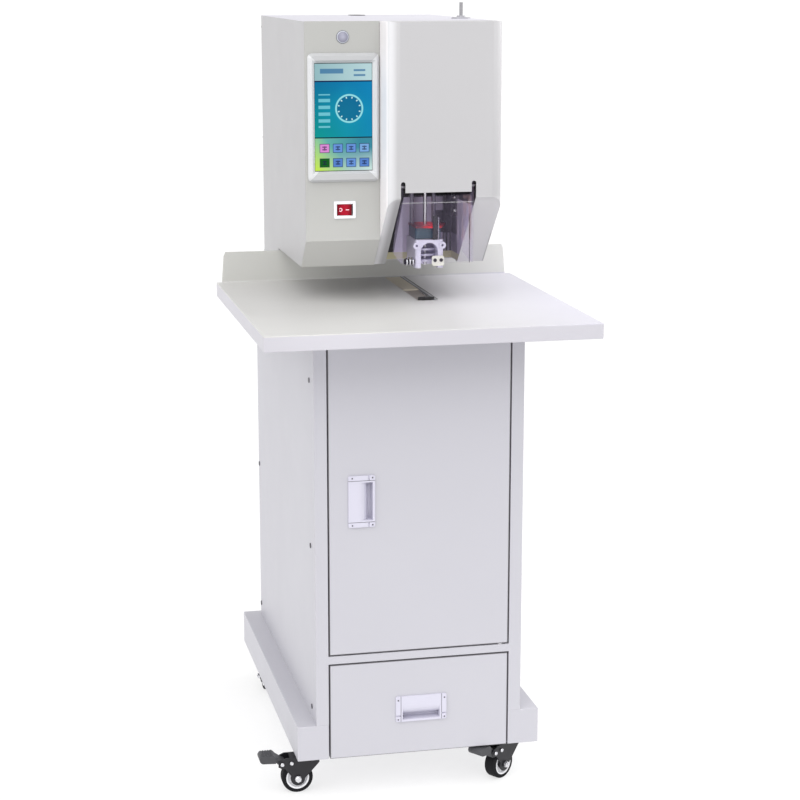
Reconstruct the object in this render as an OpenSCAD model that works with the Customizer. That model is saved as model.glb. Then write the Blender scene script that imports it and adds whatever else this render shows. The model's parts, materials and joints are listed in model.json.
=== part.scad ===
// Floor standing document drilling and tube binding machine.
// Distances are in millimetres. Inside the modules Y = 0 is the front of the cabinet,
// Z = 0 is the floor and X = 0 is the middle of the cabinet.

/* [Worktop] */
// Width of the worktop
top_w = 514; // [480:1:560]
// How far the worktop stands out in front of the cabinet
top_front = 107; // [60:1:140]
// Distance from the cabinet front back to the upstand
top_back = 413; // [380:1:440]
// Height of the worktop above the floor
top_z = 770; // [740:1:800]
// Height of the folded apron
apron_h = 23.6; // [15:0.1:34]
// Thickness of the worktop sheet
top_t = 2; // [1.2:0.1:3]
// Height of the upstand above the worktop
upstand_h = 51.6; // [30:0.1:53]
// Width of the upstand at its foot
upstand_w = 496; // [460:1:510]
// How far each end of the upstand leans in
upstand_lean = 3.5; // [0:0.1:8]

/* [Cabinet] */
// Width of the cabinet
cab_w = 331.4; // [300:0.2:360]
// Depth of the cabinet
cab_d = 574; // [560:1:600]
// Thickness of the folded sheet
sheet = 1.5; // [1:0.1:2]
// Width of the posts beside the door
stile_w = 19.7; // [14:0.1:26]
// How far the front posts wrap round the sides
stile_d = 21.6; // [18:0.1:30]
// Gap round the door and the drawer
gap = 2; // [1.5:0.1:2.6]
// Height of the door's lower edge
door_z = 240.5; // [220:0.5:260]
// Height of the door's upper edge
door_top = 736; // [700:1:740]
// Thickness of the door and of the drawer front
door_t = 18; // [14:1:22]
// Height of the rail between door and drawer
rail_h = 12.5; // [8:0.5:20]
// Distance from the door's edge to its pivot
pivot_in = 12; // [10:0.5:16]
// Distance from the door's face to its pivot
pivot_back = 6; // [5.5:0.1:6.5]
// Radius of the door's pivot pins
pivot_r = 3; // [2:0.1:3.4]

/* [Base] */
// Width of the base
base_w = 392; // [370:1:420]
// Depth of the base
base_d = 590; // [580:1:620]
// Height of the base's folded skirt
base_h = 57; // [40:1:70]
// Height of the casters
caster_h = 69; // [66:1:80]

/* [Drawer] */
// Depth of the drawer box
drawer_d = 422; // [360:1:480]
// Height of the drawer box
drawer_h = 120; // [80:1:130]
// Width of the drawer box
drawer_w = 262; // [250:1:266]
// Height of a drawer runner
runner_h = 23; // [18:1:30]

/* [Pulls] */
// Width of a pull across its recess
pull_w = 42; // [40:1:50]
// Length of a pull
pull_l = 82; // [76:1:96]
// Width of the finger recess
recess_w = 22; // [20:0.5:28]
// Length of the finger recess
recess_l = 60; // [50:1:70]
// Depth of the finger recess behind the face
recess_d = 15; // [8:0.5:15.5]
// How far a pull stands proud
pull_proud = 3; // [2:0.1:4]

/* [Head] */
// Width of the head
head_w = 300; // [290:1:320]
// Height of the top of the head
head_top = 1210; // [1180:1:1240]
// Height of the underside of the head
head_z = 825; // [824:1:832]
// Distance from the cabinet front back to the control panel
panel_y = 142; // [130:1:150]
// Height at which the control panel turns into the chamfer
chamfer_z = 872; // [855:1:880]
// How far the slant of the block lies above the panel's
slant_up = 7; // [0:0.5:12]
// How far the tool block stands out from the control panel
block_out = 63; // [50:1:72]
// Left side of the tool block
block_x = -32; // [-36:1:-28]
// Radius of the block's upright edges
block_r = 18; // [10:1:22]
// Thickness of the moulded block cover
block_t = 2; // [1.5:0.1:3]

/* [Tool window] */
// Left edge of the window
window_x = -12.5; // [-16:0.5:-11]
// Width of the window
window_w = 119.5; // [112:0.5:124]
// Height of the window's upper edge
window_z = 951; // [945:1:955]
// Width of a guard slot
slot_w = 7.2; // [5:0.1:8]
// Height of the guard slots above the window's edge
slot_h = 17; // [13:0.5:20]
// Thickness of the clear guard
guard_t = 2; // [1.5:0.1:3]
// Height of the guard's lower edge
guard_z = 840; // [832:1:850]
// How deep the guard's sides reach at the bottom
guard_deep = 66; // [50:1:80]
// Radius of the guard's hinge rod
guard_pin_r = 2.5; // [2:0.1:3]

/* [Tools] */
// Sideways place of the drill
tool_x = 50; // [45:1:54]
// Distance from the cabinet front back to the drill
tool_y = 183; // [178:1:188]
// Radius of the drill
drill_r = 3; // [2:0.1:4]
// Width of the press foot
foot_w = 46; // [42:1:52]
// Depth of the press foot
foot_d = 64; // [56:1:70]
// Height of the press foot
foot_h = 45; // [38:1:48]
// Wall of the press foot beside its arch
foot_wall = 9; // [7:0.5:10]
// Height of the press foot above the worktop
foot_lift = 53; // [45:1:54]
// Radius of the press rods
press_rod_r = 3.5; // [3:0.1:4]
// Radius of the carriage guide posts
post_r = 6; // [5:0.1:8]
// Radius of the lift screw
lift_r = 5; // [4:0.1:6]

/* [Slide] */
// Left edge of the slot in the worktop
slide_x = 33.5; // [30:0.5:36]
// Width of the slot in the worktop
slide_w = 32; // [30:0.5:34]
// Distance from the cabinet front back to the slot
slide_y = 158; // [150:1:162]
// How far the steel slide reaches under its cover
slide_lap = 30; // [20:1:40]
// Distance from the cabinet front back to the slot's cover
cover_y = 270; // [262:1:280]

/* [Controls] */
// Left edge of the screen bezel
bezel_x = -146; // [-147:0.5:-144]
// Width of the screen bezel
bezel_w = 112; // [106:0.5:112.5]
// Lower edge of the screen bezel
bezel_z = 964; // [955:1:970]
// Height of the screen bezel
bezel_h = 198; // [190:1:204]
// Width of the display
display_w = 91; // [84:0.5:94]
// Height of the display
display_h = 166; // [155:1:170]
// Radius of the round sensor
sensor_r = 10; // [7:0.5:12]
// Width of the power switch
rocker_w = 34.5; // [30:0.5:38]
// Height of the power switch
rocker_h = 27; // [22:0.5:30]

/* [Feed] */
// Sideways place of the tube feed
feed_x = 126; // [110:1:130]
// Distance from the cabinet front back to the tube feed
feed_y = 256; // [230:1:300]
// Radius of the feed flange
feed_r = 15.5; // [12:0.5:18]
// Radius of the feed rod
feed_rod_r = 2.9; // [2:0.1:4]
// How far the feed rod stands above the head
feed_up = 26; // [20:1:40]

/* [Casters] */
// Radius of a wheel
wheel_r = 25; // [22:0.5:27]
// Width of a wheel
wheel_w = 20; // [16:1:22]
// Sideways place of the casters
caster_x = 163; // [155:1:170]
// Distance from the base front to the front casters
caster_front = 50; // [45:1:70]
// Distance from the base rear to the rear casters
caster_rear = 45; // [40:1:70]
// How far a wheel trails behind its pivot
trail = 27; // [22:1:30]
// Angle of the front right caster
turn_fr = 35; // [0:1:90]
// Angle of the rear casters
turn_rear = 90; // [0:1:90]

/* [Hidden] */
$fn = 48;

// Clearances
run = 0.05;
seat = 0.3;
tiny = 0.01;

// Colours
paint = [0.86, 0.86, 0.88];
panel_paint = [0.80, 0.80, 0.79];
steel = [0.62, 0.62, 0.64];
dark = [0.13, 0.12, 0.15];
black = [0.05, 0.05, 0.05];

// Derived sizes
base_top = caster_h + base_h;
centre_y = (base_d - top_front) / 2;
table_under = top_z - top_t;
opening_w = cab_w - 2 * stile_w;
door_w = opening_w - 2 * gap;
rail_z = door_z - gap - rail_h;
drawer_top = rail_z - gap;
pivot_x = door_w / 2 - pivot_in;
upstand_y1 = top_back + top_t;
chamfer_sum = panel_y + chamfer_z;
block_sum = chamfer_sum + slant_up;
block_y = panel_y - block_out;
window_x1 = window_x + window_w;
pillar_y = upstand_y1 + 1;
foot_lip = 13;
roof_z = top_z - 0.5;
foot_z = top_z + foot_lift;
foot_top = foot_z + foot_h;
block_top = foot_top + 18;
plate_top = block_top + 3.5;

module machine_frame() {
    translate([0, -centre_y, 0]) children();
}

// A block from its lowest to its highest corner
module block(low, high) {
    translate(low) cube(high - low);
}

// A profile drawn in Y and Z, pulled from x0 to x1
module along_x(x0, x1) {
    translate([x0, 0, 0])
        rotate([90, 0, 90])
            linear_extrude(x1 - x0) children();
}

// A profile drawn in X and Z, pulled from y0 to y1
module along_y(y0, y1) {
    translate([0, y1, 0])
        rotate([90, 0, 0])
            linear_extrude(y1 - y0) children();
}

// A profile drawn in X and Y, pulled from z0 to z1
module along_z(z0, z1) {
    translate([0, 0, z0]) linear_extrude(z1 - z0) children();
}

module both_sides() {
    children();
    mirror([1, 0, 0]) children();
}

module rect_span(low, high) {
    translate(low) square(high - low);
}

// Rounded rectangle between two corners, exact arcs
module soft_rect(low, high, r) {
    rect_span([low[0] + r, low[1]], [high[0] - r, high[1]]);
    rect_span([low[0], low[1] + r], [high[0], high[1] - r]);
    for (x = [low[0] + r, high[0] - r], y = [low[1] + r, high[1] - r])
        translate([x, y]) circle(r);
}

// Base and casters

opening_front = [-opening_w / 2, opening_w / 2];
floor_t = 2;
ring_lap = 14;

module base_frame() {
    color(paint) machine_frame() difference() {
        block([-base_w / 2, 0, caster_h], [base_w / 2, base_d, base_top]);
        block([-base_w / 2 + sheet, door_t + gap, caster_h + floor_t],
              [base_w / 2 - sheet, base_d - sheet, base_top - sheet]);
        both_sides()
            block([opening_w / 2 + sheet, sheet, caster_h + floor_t],
                  [base_w / 2 - sheet, door_t + gap + 1, base_top - sheet]);
        block([-cab_w / 2 + ring_lap, door_t + gap, base_top - 2 * sheet],
              [cab_w / 2 - ring_lap, cab_d - ring_lap, base_top + 1]);
        block([opening_front[0], -1, caster_h - 1],
              [opening_front[1], door_t + gap + tiny, base_top + 1]);
    }
}

plate_t = 2.5;
plate_w = 50;
fork_t = 3;
fork_top = 60.5;
kingpin_r = 5;
race_r = 18;
head_r = 8;
caster_spots = [
    [-caster_x, caster_front, 0],
    [caster_x, caster_front, turn_fr],
    [-caster_x, base_d - caster_rear, turn_rear],
    [caster_x, base_d - caster_rear, turn_rear]
];

module at_caster(i) {
    spot = caster_spots[i];
    translate([spot[0], spot[1], 0]) rotate([0, 0, spot[2]]) children();
}

module caster_plates() {
    bolt_off = plate_w / 2 - 7;
    color(steel) machine_frame() for (i = [0:3])
        translate([caster_spots[i][0], caster_spots[i][1], 0]) {
            block([-plate_w / 2, -plate_w / 2, caster_h - plate_t],
                  [plate_w / 2, plate_w / 2, caster_h]);
            translate([0, 0, fork_top + seat])
                cylinder(r = race_r, h = caster_h - plate_t - fork_top - seat + tiny);
            translate([0, 0, fork_top - fork_t - seat - 3])
                cylinder(r = kingpin_r, h = caster_h - fork_top + fork_t);
            translate([0, 0, fork_top - fork_t - seat - 3])
                cylinder(r = head_r, h = 3);
            for (x = [-bolt_off, bolt_off], y = [-bolt_off, bolt_off])
                translate([x, y, caster_h - plate_t - 2]) cylinder(r = 4, h = 2 + tiny, $fn = 6);
        }
}

cheek_in = wheel_w / 2 + 1;
cheek_t = 2.5;
axle_r = 4;
brake_x = -trail - 25;
stop_x = -trail - 10;
brake_z = wheel_r + 26;
brake_r = 2.5;

module fork_cheek() {
    translate([-trail, wheel_r]) circle(11.5);
    polygon([
        [8, fork_top], [brake_x + 6, fork_top], [brake_x - 6, brake_z + 4],
        [brake_x - 6, brake_z - 5], [brake_x + 4, brake_z - 8],
        [-trail - 8.6, wheel_r + 2.5], [-trail + 8.2, wheel_r - 3.6], [8, fork_top - 10]
    ]);
}

module caster_fork(i, braked) {
    color(black) machine_frame() at_caster(i) {
        difference() {
            union() {
                along_z(fork_top - fork_t, fork_top) circle(race_r);
                block([-trail - 12, -cheek_in - cheek_t, fork_top - fork_t],
                      [8, cheek_in + cheek_t, fork_top]);
            }
            translate([0, 0, fork_top - fork_t - 1]) cylinder(r = kingpin_r + run, h = fork_t + 2);
        }
        for (y = [cheek_in, -cheek_in - cheek_t])
            along_y(y, y + cheek_t) fork_cheek();
        along_y(-cheek_in - cheek_t - 2, cheek_in + cheek_t + 2)
            translate([-trail, wheel_r]) circle(axle_r);
        for (y = [cheek_in + cheek_t, -cheek_in - cheek_t - 2])
            along_y(y, y + 2) translate([-trail, wheel_r]) circle(5.5);
        along_y(-cheek_in - cheek_t - 1.5, cheek_in + cheek_t + 1.5)
            translate([stop_x, brake_z + 1]) circle(1.8);
        if (braked)
            along_y(-cheek_in - cheek_t - 1.5, cheek_in + cheek_t + 1.5)
                translate([brake_x, brake_z]) circle(brake_r);
    }
}

module wheel(i) {
    rim_r = wheel_r - 7;
    color(black) machine_frame() at_caster(i)
        translate([-trail, 0, wheel_r]) rotate([90, 0, 0])
            rotate_extrude($fn = 64) difference() {
                union() {
                    translate([axle_r + run, -wheel_w / 2]) square([4, wheel_w]);
                    translate([axle_r + run, -wheel_w / 2 + 4])
                        square([rim_r - axle_r, wheel_w - 8]);
                    soft_rect([rim_r - 3, -wheel_w / 2], [wheel_r, wheel_w / 2], 3);
                }
                square([axle_r + run, wheel_w], center = true);
            }
}

// Pedal from the side: a lever over the wheel and a thick ribbed pad outside the fork
module pedal_side() {
    end_r = 6.5;
    pad_x = brake_x - 36 + end_r;
    pad_z = brake_z + 9.5;
    difference() {
        union() {
            polygon([
                [brake_x + 5, brake_z - 8.5], [brake_x + 5.5, brake_z + 3],
                [brake_x - 2, brake_z + 7], [brake_x - 9, brake_z + 12],
                [brake_x - 14, pad_z + end_r], [pad_x, pad_z + end_r],
                [pad_x, pad_z - end_r], [brake_x - 9, brake_z + 2],
                [brake_x - 5, brake_z - 2], [brake_x - 2, brake_z - 8.5]
            ]);
            translate([pad_x, pad_z]) circle(end_r);
        }
        translate([brake_x, brake_z]) circle(brake_r + run);
        for (k = [0:3])
            translate([pad_x + 4 * k, pad_z + end_r]) circle(0.9, $fn = 12);
    }
}

module brake_pedal(i) {
    pad_w = cheek_in + cheek_t;
    color(black) machine_frame() at_caster(i) {
        along_y(-cheek_in + 0.5, cheek_in - 0.5) pedal_side();
        along_y(-pad_w, pad_w) intersection() {
            pedal_side();
            rect_span([brake_x - 50, brake_z - 10], [brake_x - 10, brake_z + 20]);
        }
    }
}

// Cabinet

module left_side_panel() {
    color(paint) machine_frame() side_panel();
}

module right_side_panel() {
    color(paint) machine_frame() mirror([1, 0, 0]) side_panel();
}

screw_front_y = 38;
screw_rear_y = 565;
front_screw_z = [145, 410, 673];
rear_screw_z = [149, 413];
fastener_r = 2;
flange = 14;

module side_panel() {
    x0 = -cab_w / 2;
    y0 = stile_d + seat;
    difference() {
        union() {
            block([x0, y0, base_top], [x0 + sheet, cab_d, table_under]);
            block([x0, y0, base_top], [x0 + flange, cab_d, base_top + sheet]);
            block([x0, y0, table_under - sheet], [x0 + flange, cab_d, table_under]);
            block([x0, cab_d - sheet, base_top], [x0 + flange, cab_d, table_under]);
        }
        for (z = front_screw_z) screw_hole(x0, screw_front_y, z);
        for (z = rear_screw_z) screw_hole(x0, screw_rear_y, z);
    }
}

module screw_hole(x, y, z) {
    translate([x - 1, y, z]) rotate([0, 90, 0]) cylinder(r = fastener_r + seat, h = sheet + 2);
}

module pan_screw(length) {
    rotate([0, -90, 0]) {
        cylinder(r = 4, h = 1.4);
        translate([0, 0, -length]) cylinder(r = fastener_r, h = length + tiny);
    }
}

module panel_screws() {
    color(steel) machine_frame() {
        both_sides() {
            for (z = front_screw_z)
                translate([-cab_w / 2, screw_front_y, z]) pan_screw(6);
            for (z = rear_screw_z)
                translate([-cab_w / 2, screw_rear_y, z]) pan_screw(6);
        }
        for (x = [-rear_screw_x, rear_screw_x], z = back_screw_z)
            translate([x, cab_d + sheet, z]) rotate([0, 0, -90]) pan_screw(6);
        for (x = [-rear_screw_x, rear_screw_x], z = cover_screw_z)
            translate([x, cab_d + sheet, z]) rotate([0, 0, -90]) pan_screw(6);
    }
}

module stile_profile() {
    x0 = -cab_w / 2;
    x1 = x0 + stile_w;
    polygon([
        [x0, 0], [x1, 0], [x1, door_t + gap], [x1 - sheet, door_t + gap],
        [x1 - sheet, sheet], [x0 + sheet, sheet], [x0 + sheet, stile_d], [x0, stile_d]
    ]);
}

module front_frame() {
    half = opening_w / 2 + tiny;
    color(paint) machine_frame() difference() {
        union() {
            both_sides() along_z(base_top, table_under) stile_profile();
            along_x(-half, half) {
                difference() {
                    rect_span([0, rail_z], [door_t + gap, rail_z + rail_h]);
                    rect_span([sheet, rail_z + sheet], [door_t + gap + 1, rail_z + rail_h - sheet]);
                }
                rect_span([0, door_top + gap], [sheet, table_under]);
                rect_span([0, door_top + gap], [door_t + gap, door_top + gap + sheet]);
            }
        }
        translate([pivot_x, pivot_back, rail_z + sheet + 1])
            cylinder(r = pivot_r + run, h = rail_h);
        translate([pivot_x, pivot_back, door_top + gap - 1])
            cylinder(r = pivot_r + run, h = sheet + 2);
    }
}

pin_in = 16;

module hinge_pins() {
    color(steel) machine_frame() translate([pivot_x, pivot_back, 0]) {
        translate([0, 0, rail_z + rail_h - 6]) cylinder(r = pivot_r, h = 6 + gap + pin_in);
        translate([0, 0, rail_z + rail_h]) cylinder(r = pivot_r + 2.2, h = gap - seat);
        translate([0, 0, door_top - pin_in]) cylinder(r = pivot_r, h = gap + pin_in + 6);
        translate([0, 0, door_top + seat]) cylinder(r = pivot_r + 2.2, h = gap - seat);
    }
}

rear_screw_x = 146;
back_screw_z = [150, 440, 740];
cover_screw_z = [800, 1000, 1190];
inlet_x = 100;
inlet_z = 180;
inlet_w = 27;
inlet_h = 20;

module back_panel() {
    y0 = cab_d;
    color(paint) machine_frame() difference() {
        block([-cab_w / 2 + 4, y0, base_top + 1], [cab_w / 2 - 4, y0 + sheet, table_under - 1]);
        for (i = [0:7])
            along_y(y0 - 1, y0 + sheet + 1)
                soft_rect([-60, 560 + 14 * i], [60, 565 + 14 * i], 2.4);
        block([inlet_x - inlet_w / 2, y0 - 1, inlet_z - inlet_h / 2],
              [inlet_x + inlet_w / 2, y0 + sheet + 1, inlet_z + inlet_h / 2]);
        for (x = [-rear_screw_x, rear_screw_x], z = back_screw_z)
            translate([x, y0 - 1, z]) rotate([-90, 0, 0])
                cylinder(r = fastener_r + seat, h = sheet + 2);
    }
}

module power_inlet() {
    y0 = cab_d + sheet;
    wall = 2;
    color(black) machine_frame() translate([inlet_x, 0, inlet_z]) difference() {
        union() {
            block([-inlet_w / 2 - 10, y0, -inlet_h / 2 - 2],
                  [inlet_w / 2 + 10, y0 + 3, inlet_h / 2 + 2]);
            block([-inlet_w / 2 + seat, y0 - 18, -inlet_h / 2 + seat],
                  [inlet_w / 2 - seat, y0 + tiny, inlet_h / 2 - seat]);
        }
        block([-inlet_w / 2 + wall, y0 - 16, -inlet_h / 2 + wall],
              [inlet_w / 2 - wall, y0 + 4, inlet_h / 2 - wall]);
    }
}

module cabinet_shelf() {
    z1 = rail_z + rail_h;
    x1 = cab_w / 2 - sheet;
    y0 = door_t + gap + seat;
    y1 = cab_d - sheet;
    color(paint) machine_frame() {
        block([-x1, y0, z1 - sheet], [x1, y1, z1]);
        both_sides() block([x1 - sheet, y0, z1 - flange], [x1, y1, z1]);
        block([-x1, y1 - sheet, z1 - flange], [x1, y1, z1]);
    }
}

// Door, drawer and their pulls

// A shallow folded tray whose face lies at Y = 0
module folded_front(low_z, high_z) {
    difference() {
        block([-door_w / 2, 0, low_z], [door_w / 2, door_t, high_z]);
        block([-door_w / 2 + sheet, sheet, low_z + sheet],
              [door_w / 2 - sheet, door_t + 1, high_z - sheet]);
    }
}

pull_lip = 3.5;
recess_u1 = pull_w - pull_lip;
recess_u0 = recess_u1 - recess_w;
cup_wall = 1.6;
door_pull_x = -113.5;
door_pull_z = 487;
drawer_pull_x = 2.5;
drawer_pull_z = 164.5;

// Pull drawn with its width along X, its length along Z and its middle at Z = 0
module pull() {
    slope = recess_d + pull_proud;
    arc = [for (a = [0:15:90]) [
        recess_u0 + slope * 0.9 * sin(a),
        -pull_proud + slope * (1 - cos(a))
    ]];
    cap_z = recess_l / 2 + 3;
    difference() {
        union() {
            along_y(-pull_proud, 0) soft_rect([0, -pull_l / 2], [pull_w, pull_l / 2], 2.5);
            for (u = [6, pull_w - 4], z = [cap_z + 4.5, -cap_z - 4.5])
                along_y(-pull_proud - 0.6, -pull_proud + tiny) translate([u, z]) circle(1.7);
            block([recess_u0 - cup_wall, -tiny, -recess_l / 2 - cup_wall],
                  [recess_u1 + cup_wall, recess_d + cup_wall, recess_l / 2 + cup_wall]);
        }
        along_z(-recess_l / 2, recess_l / 2) polygon(concat(
            [[recess_u1, -pull_proud - 1], [recess_u0, -pull_proud - 1]],
            arc,
            [[recess_u1, recess_d]]
        ));
        for (z = [cap_z, -cap_z])
            along_y(-pull_proud - 1, -pull_proud + 0.9)
                rect_span([-1, z - 0.4], [pull_w + 1, z + 0.4]);
        for (z = [cap_z, -pull_l / 2 - 1])
            along_y(-pull_proud - 1, -pull_proud + 2.2)
                rect_span([31, z], [33.4, z + pull_l / 2 - cap_z + 1]);
    }
}

module pull_hole() {
    u0 = recess_u0 - cup_wall - seat;
    u1 = recess_u1 + cup_wall + seat;
    half_l = recess_l / 2 + cup_wall + seat;
    block([u0, -1, -half_l], [u1, sheet + 1, half_l]);
}

module at_door_pull() {
    translate([door_pull_x, 0, door_pull_z]) children();
}

module at_drawer_pull() {
    translate([drawer_pull_x, 0, drawer_pull_z]) rotate([0, 90, 0]) children();
}

module door() {
    blk = 22;
    color(paint) machine_frame() difference() {
        union() {
            folded_front(door_z, door_top);
            for (z = [door_z, door_top - blk])
                block([pivot_x - 7, tiny, z], [door_w / 2 - tiny, pivot_back + 7, z + blk]);
        }
        at_door_pull() pull_hole();
        translate([pivot_x, pivot_back, door_z - 1])
            cylinder(r = pivot_r + run, h = pin_in + 2);
        translate([pivot_x, pivot_back, door_top - pin_in - 1])
            cylinder(r = pivot_r + run, h = pin_in + 2);
    }
}

module door_pull() {
    color(panel_paint) machine_frame() at_door_pull() pull();
}

module drawer_front() {
    color(paint) machine_frame() difference() {
        folded_front(caster_h, drawer_top);
        at_drawer_pull() pull_hole();
    }
}

module drawer_pull() {
    color(panel_paint) machine_frame() at_drawer_pull() pull();
}

box_z = caster_h + floor_t + 5;
box_t = 1.2;
slide_z = box_z + 52;
slide_in = 10;
runner_x = drawer_w / 2 + 3;
web_x = drawer_w / 2 + 12;

module drawer_box() {
    color(steel) machine_frame() difference() {
        block([-drawer_w / 2, sheet, box_z],
              [drawer_w / 2, door_t + drawer_d, box_z + drawer_h]);
        block([-drawer_w / 2 + box_t, door_t + box_t, box_z + box_t],
              [drawer_w / 2 - box_t, door_t + drawer_d - box_t, box_z + drawer_h + 1]);
        block([-drawer_w / 2 + box_t, 0, box_z + box_t],
              [drawer_w / 2 - box_t, door_t, box_z + drawer_h + 1]);
    }
}

module drawer_slides() {
    z0 = slide_z + sheet + seat;
    z1 = slide_z + runner_h - sheet - seat;
    color(steel) machine_frame() both_sides() difference() {
        block([drawer_w / 2, door_t + 6, z0], [drawer_w / 2 + slide_in, door_t + drawer_d, z1]);
        block([drawer_w / 2 + sheet, door_t + 5, z0 + sheet],
              [drawer_w / 2 + slide_in + 1, door_t + drawer_d + 1, z1 - sheet]);
    }
}

module drawer_runners() {
    y0 = door_t + 6;
    y1 = door_t + drawer_d + 30;
    z1 = slide_z + runner_h;
    color(steel) machine_frame() both_sides() difference() {
        union() {
            block([runner_x, y0, slide_z], [web_x, y1, z1]);
            block([web_x - tiny, y0, z1 - sheet], [cab_w / 2 - sheet, y1, z1]);
            block([cab_w / 2 - 2 * sheet, y0, slide_z], [cab_w / 2 - sheet, y1, z1]);
        }
        block([runner_x - 1, y0 - 1, slide_z + sheet], [web_x - sheet, y1 + 1, z1 - sheet]);
        translate([cab_w / 2 - 3 * sheet, screw_front_y, front_screw_z[0]])
            rotate([0, 90, 0]) cylinder(r = fastener_r + seat, h = 3 * sheet);
    }
}

// Worktop and the slide in it

module worktop() {
    color(paint) machine_frame() difference() {
        union() {
            difference() {
                block([-top_w / 2, -top_front, top_z - apron_h], [top_w / 2, upstand_y1, top_z]);
                block([-top_w / 2 + top_t, -top_front + top_t, top_z - apron_h - 1],
                      [top_w / 2 - top_t, upstand_y1 - top_t, top_z - top_t]);
                block([-cab_w / 2 - 1, top_back - 1, top_z - apron_h - 1],
                      [cab_w / 2 + 1, upstand_y1 + 1, top_z - top_t]);
            }
            along_y(top_back, upstand_y1) polygon([
                [-upstand_w / 2, top_z - tiny], [upstand_w / 2, top_z - tiny],
                [upstand_w / 2 - upstand_lean, top_z + upstand_h - 7],
                [upstand_w / 2 - upstand_lean - 3, top_z + upstand_h],
                [-upstand_w / 2 + upstand_lean + 3, top_z + upstand_h],
                [-upstand_w / 2 + upstand_lean, top_z + upstand_h - 7]
            ]);
        }
        block([slide_x, slide_y, top_z - top_t - 1],
              [slide_x + slide_w, top_back - 4, top_z + 1]);
    }
}

bar_x0 = slide_x + 0.5;
bar_x1 = slide_x + 26.5;
bar_t = 3.5;
bar_top = table_under - seat;
guide_floor = bar_top - bar_t - seat;
guide_t = 2;
slide_end = top_back - 4.3;

module slot_cover() {
    color([0.72, 0.68, 0.58]) machine_frame() {
        block([bar_x0, cover_y, table_under], [bar_x1, slide_end, top_z]);
        block([bar_x0, slide_end - 8, guide_floor], [bar_x1, slide_end, table_under + tiny]);
    }
}

module slide_guide() {
    strip_x = bar_x1 + seat;
    out = 4;
    color([0.75, 0.75, 0.76]) machine_frame() difference() {
        union() {
            block([slide_x - out, slide_y + 2, guide_floor - guide_t],
                  [slide_x + slide_w + out, top_back - 6, guide_floor]);
            block([slide_x - out, slide_y + 2, guide_floor - tiny],
                  [bar_x0 - seat, top_back - 6, table_under]);
            block([strip_x, slide_y + 2, guide_floor - tiny],
                  [slide_x + slide_w + out, top_back - 6, table_under]);
            block([strip_x, slide_y + 2, table_under - tiny],
                  [slide_x + slide_w - seat, slide_end, top_z - 0.4]);
        }
        translate([tool_x, tool_y, guide_floor - guide_t - 1])
            cylinder(r = 9 + seat, h = guide_t + 2);
    }
}

module lower_die() {
    arm_z = guide_floor - 62;
    color(steel) machine_frame() {
        translate([tool_x, tool_y, arm_z]) cylinder(r = 9, h = guide_floor - arm_z - seat);
        difference() {
            block([slide_x - 4, tool_y - 25, arm_z - 6],
                  [slide_x + slide_w + 4, tool_y + 25, guide_floor - guide_t]);
            block([slide_x + 2, tool_y - 26, arm_z],
                  [slide_x + slide_w - 2, tool_y + 26, guide_floor - guide_t + 1]);
        }
    }
}

module slide_bar() {
    pad_r = 8;
    color([0.42, 0.37, 0.34]) machine_frame() difference() {
        union() {
            block([bar_x0, slide_y + 7, bar_top - bar_t], [bar_x1, cover_y + slide_lap, bar_top]);
            block([bar_x0 + 6, slide_y + 3, bar_top - bar_t], [bar_x1 - 4, slide_y + 8, bar_top]);
        }
        translate([tool_x, tool_y, bar_top - 0.8]) difference() {
            cylinder(r = pad_r + 0.6, h = 2);
            cylinder(r = pad_r, h = 2);
        }
        for (y = [cover_y - 60, cover_y - 15])
            translate([bar_x0 + 5, y, bar_top - bar_t - 1]) cylinder(r = 1.6, h = bar_t + 2);
    }
}

module slide_handle() {
    x0 = slide_x + seat;
    x1 = bar_x1 + 0.6;
    nub_x = 45;
    color(black) machine_frame() {
        along_z(top_z + seat, top_z + 4.7) {
            soft_rect([x0, slide_y + seat], [x1, slide_y + 7], 3);
        }
        along_z(top_z + 4.6, top_z + 5.6) translate([nub_x, slide_y + 3.2]) circle(1.8);
        block([bar_x0 + 6, slide_y + 3, bar_top],
              [bar_x1 - 4, slide_y + 7 - seat, top_z + seat + tiny]);
    }
}

// Head

module head_pillar() {
    color(steel) machine_frame() {
        block([-cab_w / 2, pillar_y, table_under], [cab_w / 2, cab_d, roof_z]);
        difference() {
            block([-70, cab_d - 90, roof_z - tiny], [70, cab_d - 30, head_z]);
            block([-64, cab_d - 84, roof_z - 1], [64, cab_d - 20, head_z + 1]);
        }
    }
}

module head_base_plate() {
    x1 = head_w / 2 - sheet;
    y0 = block_sum - head_z;
    color(paint) machine_frame() difference() {
        union() {
            block([-x1, y0 + foot_lip + seat, head_z], [x1, cab_d - sheet, head_z + 2]);
            block([-x1, chamfer_sum - head_z + foot_lip + seat, head_z],
                  [block_x, y0 + foot_lip + seat + tiny, head_z + 2]);
            block([-x1, pillar_y, roof_z], [x1, pillar_y + 2, head_z + tiny]);
        }
        block([window_x - 2, y0 - 1, head_z - 1], [window_x1 + 2, back_y + 2, head_z + 3]);
    }
}

// Side outline of the head in Y and Z, its slanting edge on sum and raised by lift
module head_side(sum, lift) {
    y0 = panel_y + sheet + seat;
    low = sum + lift * sqrt(2);
    difference() {
        polygon([
            [y0, head_top], [y0, low - y0], [low - head_z, head_z], [pillar_y, head_z],
            [pillar_y, roof_z], [cab_d, roof_z], [cab_d, head_top]
        ]);
        if (lift > 0)
            rect_span([y0, head_z - 1], [sum - head_z + foot_lip + seat, head_z + lift]);
    }
}

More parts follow.
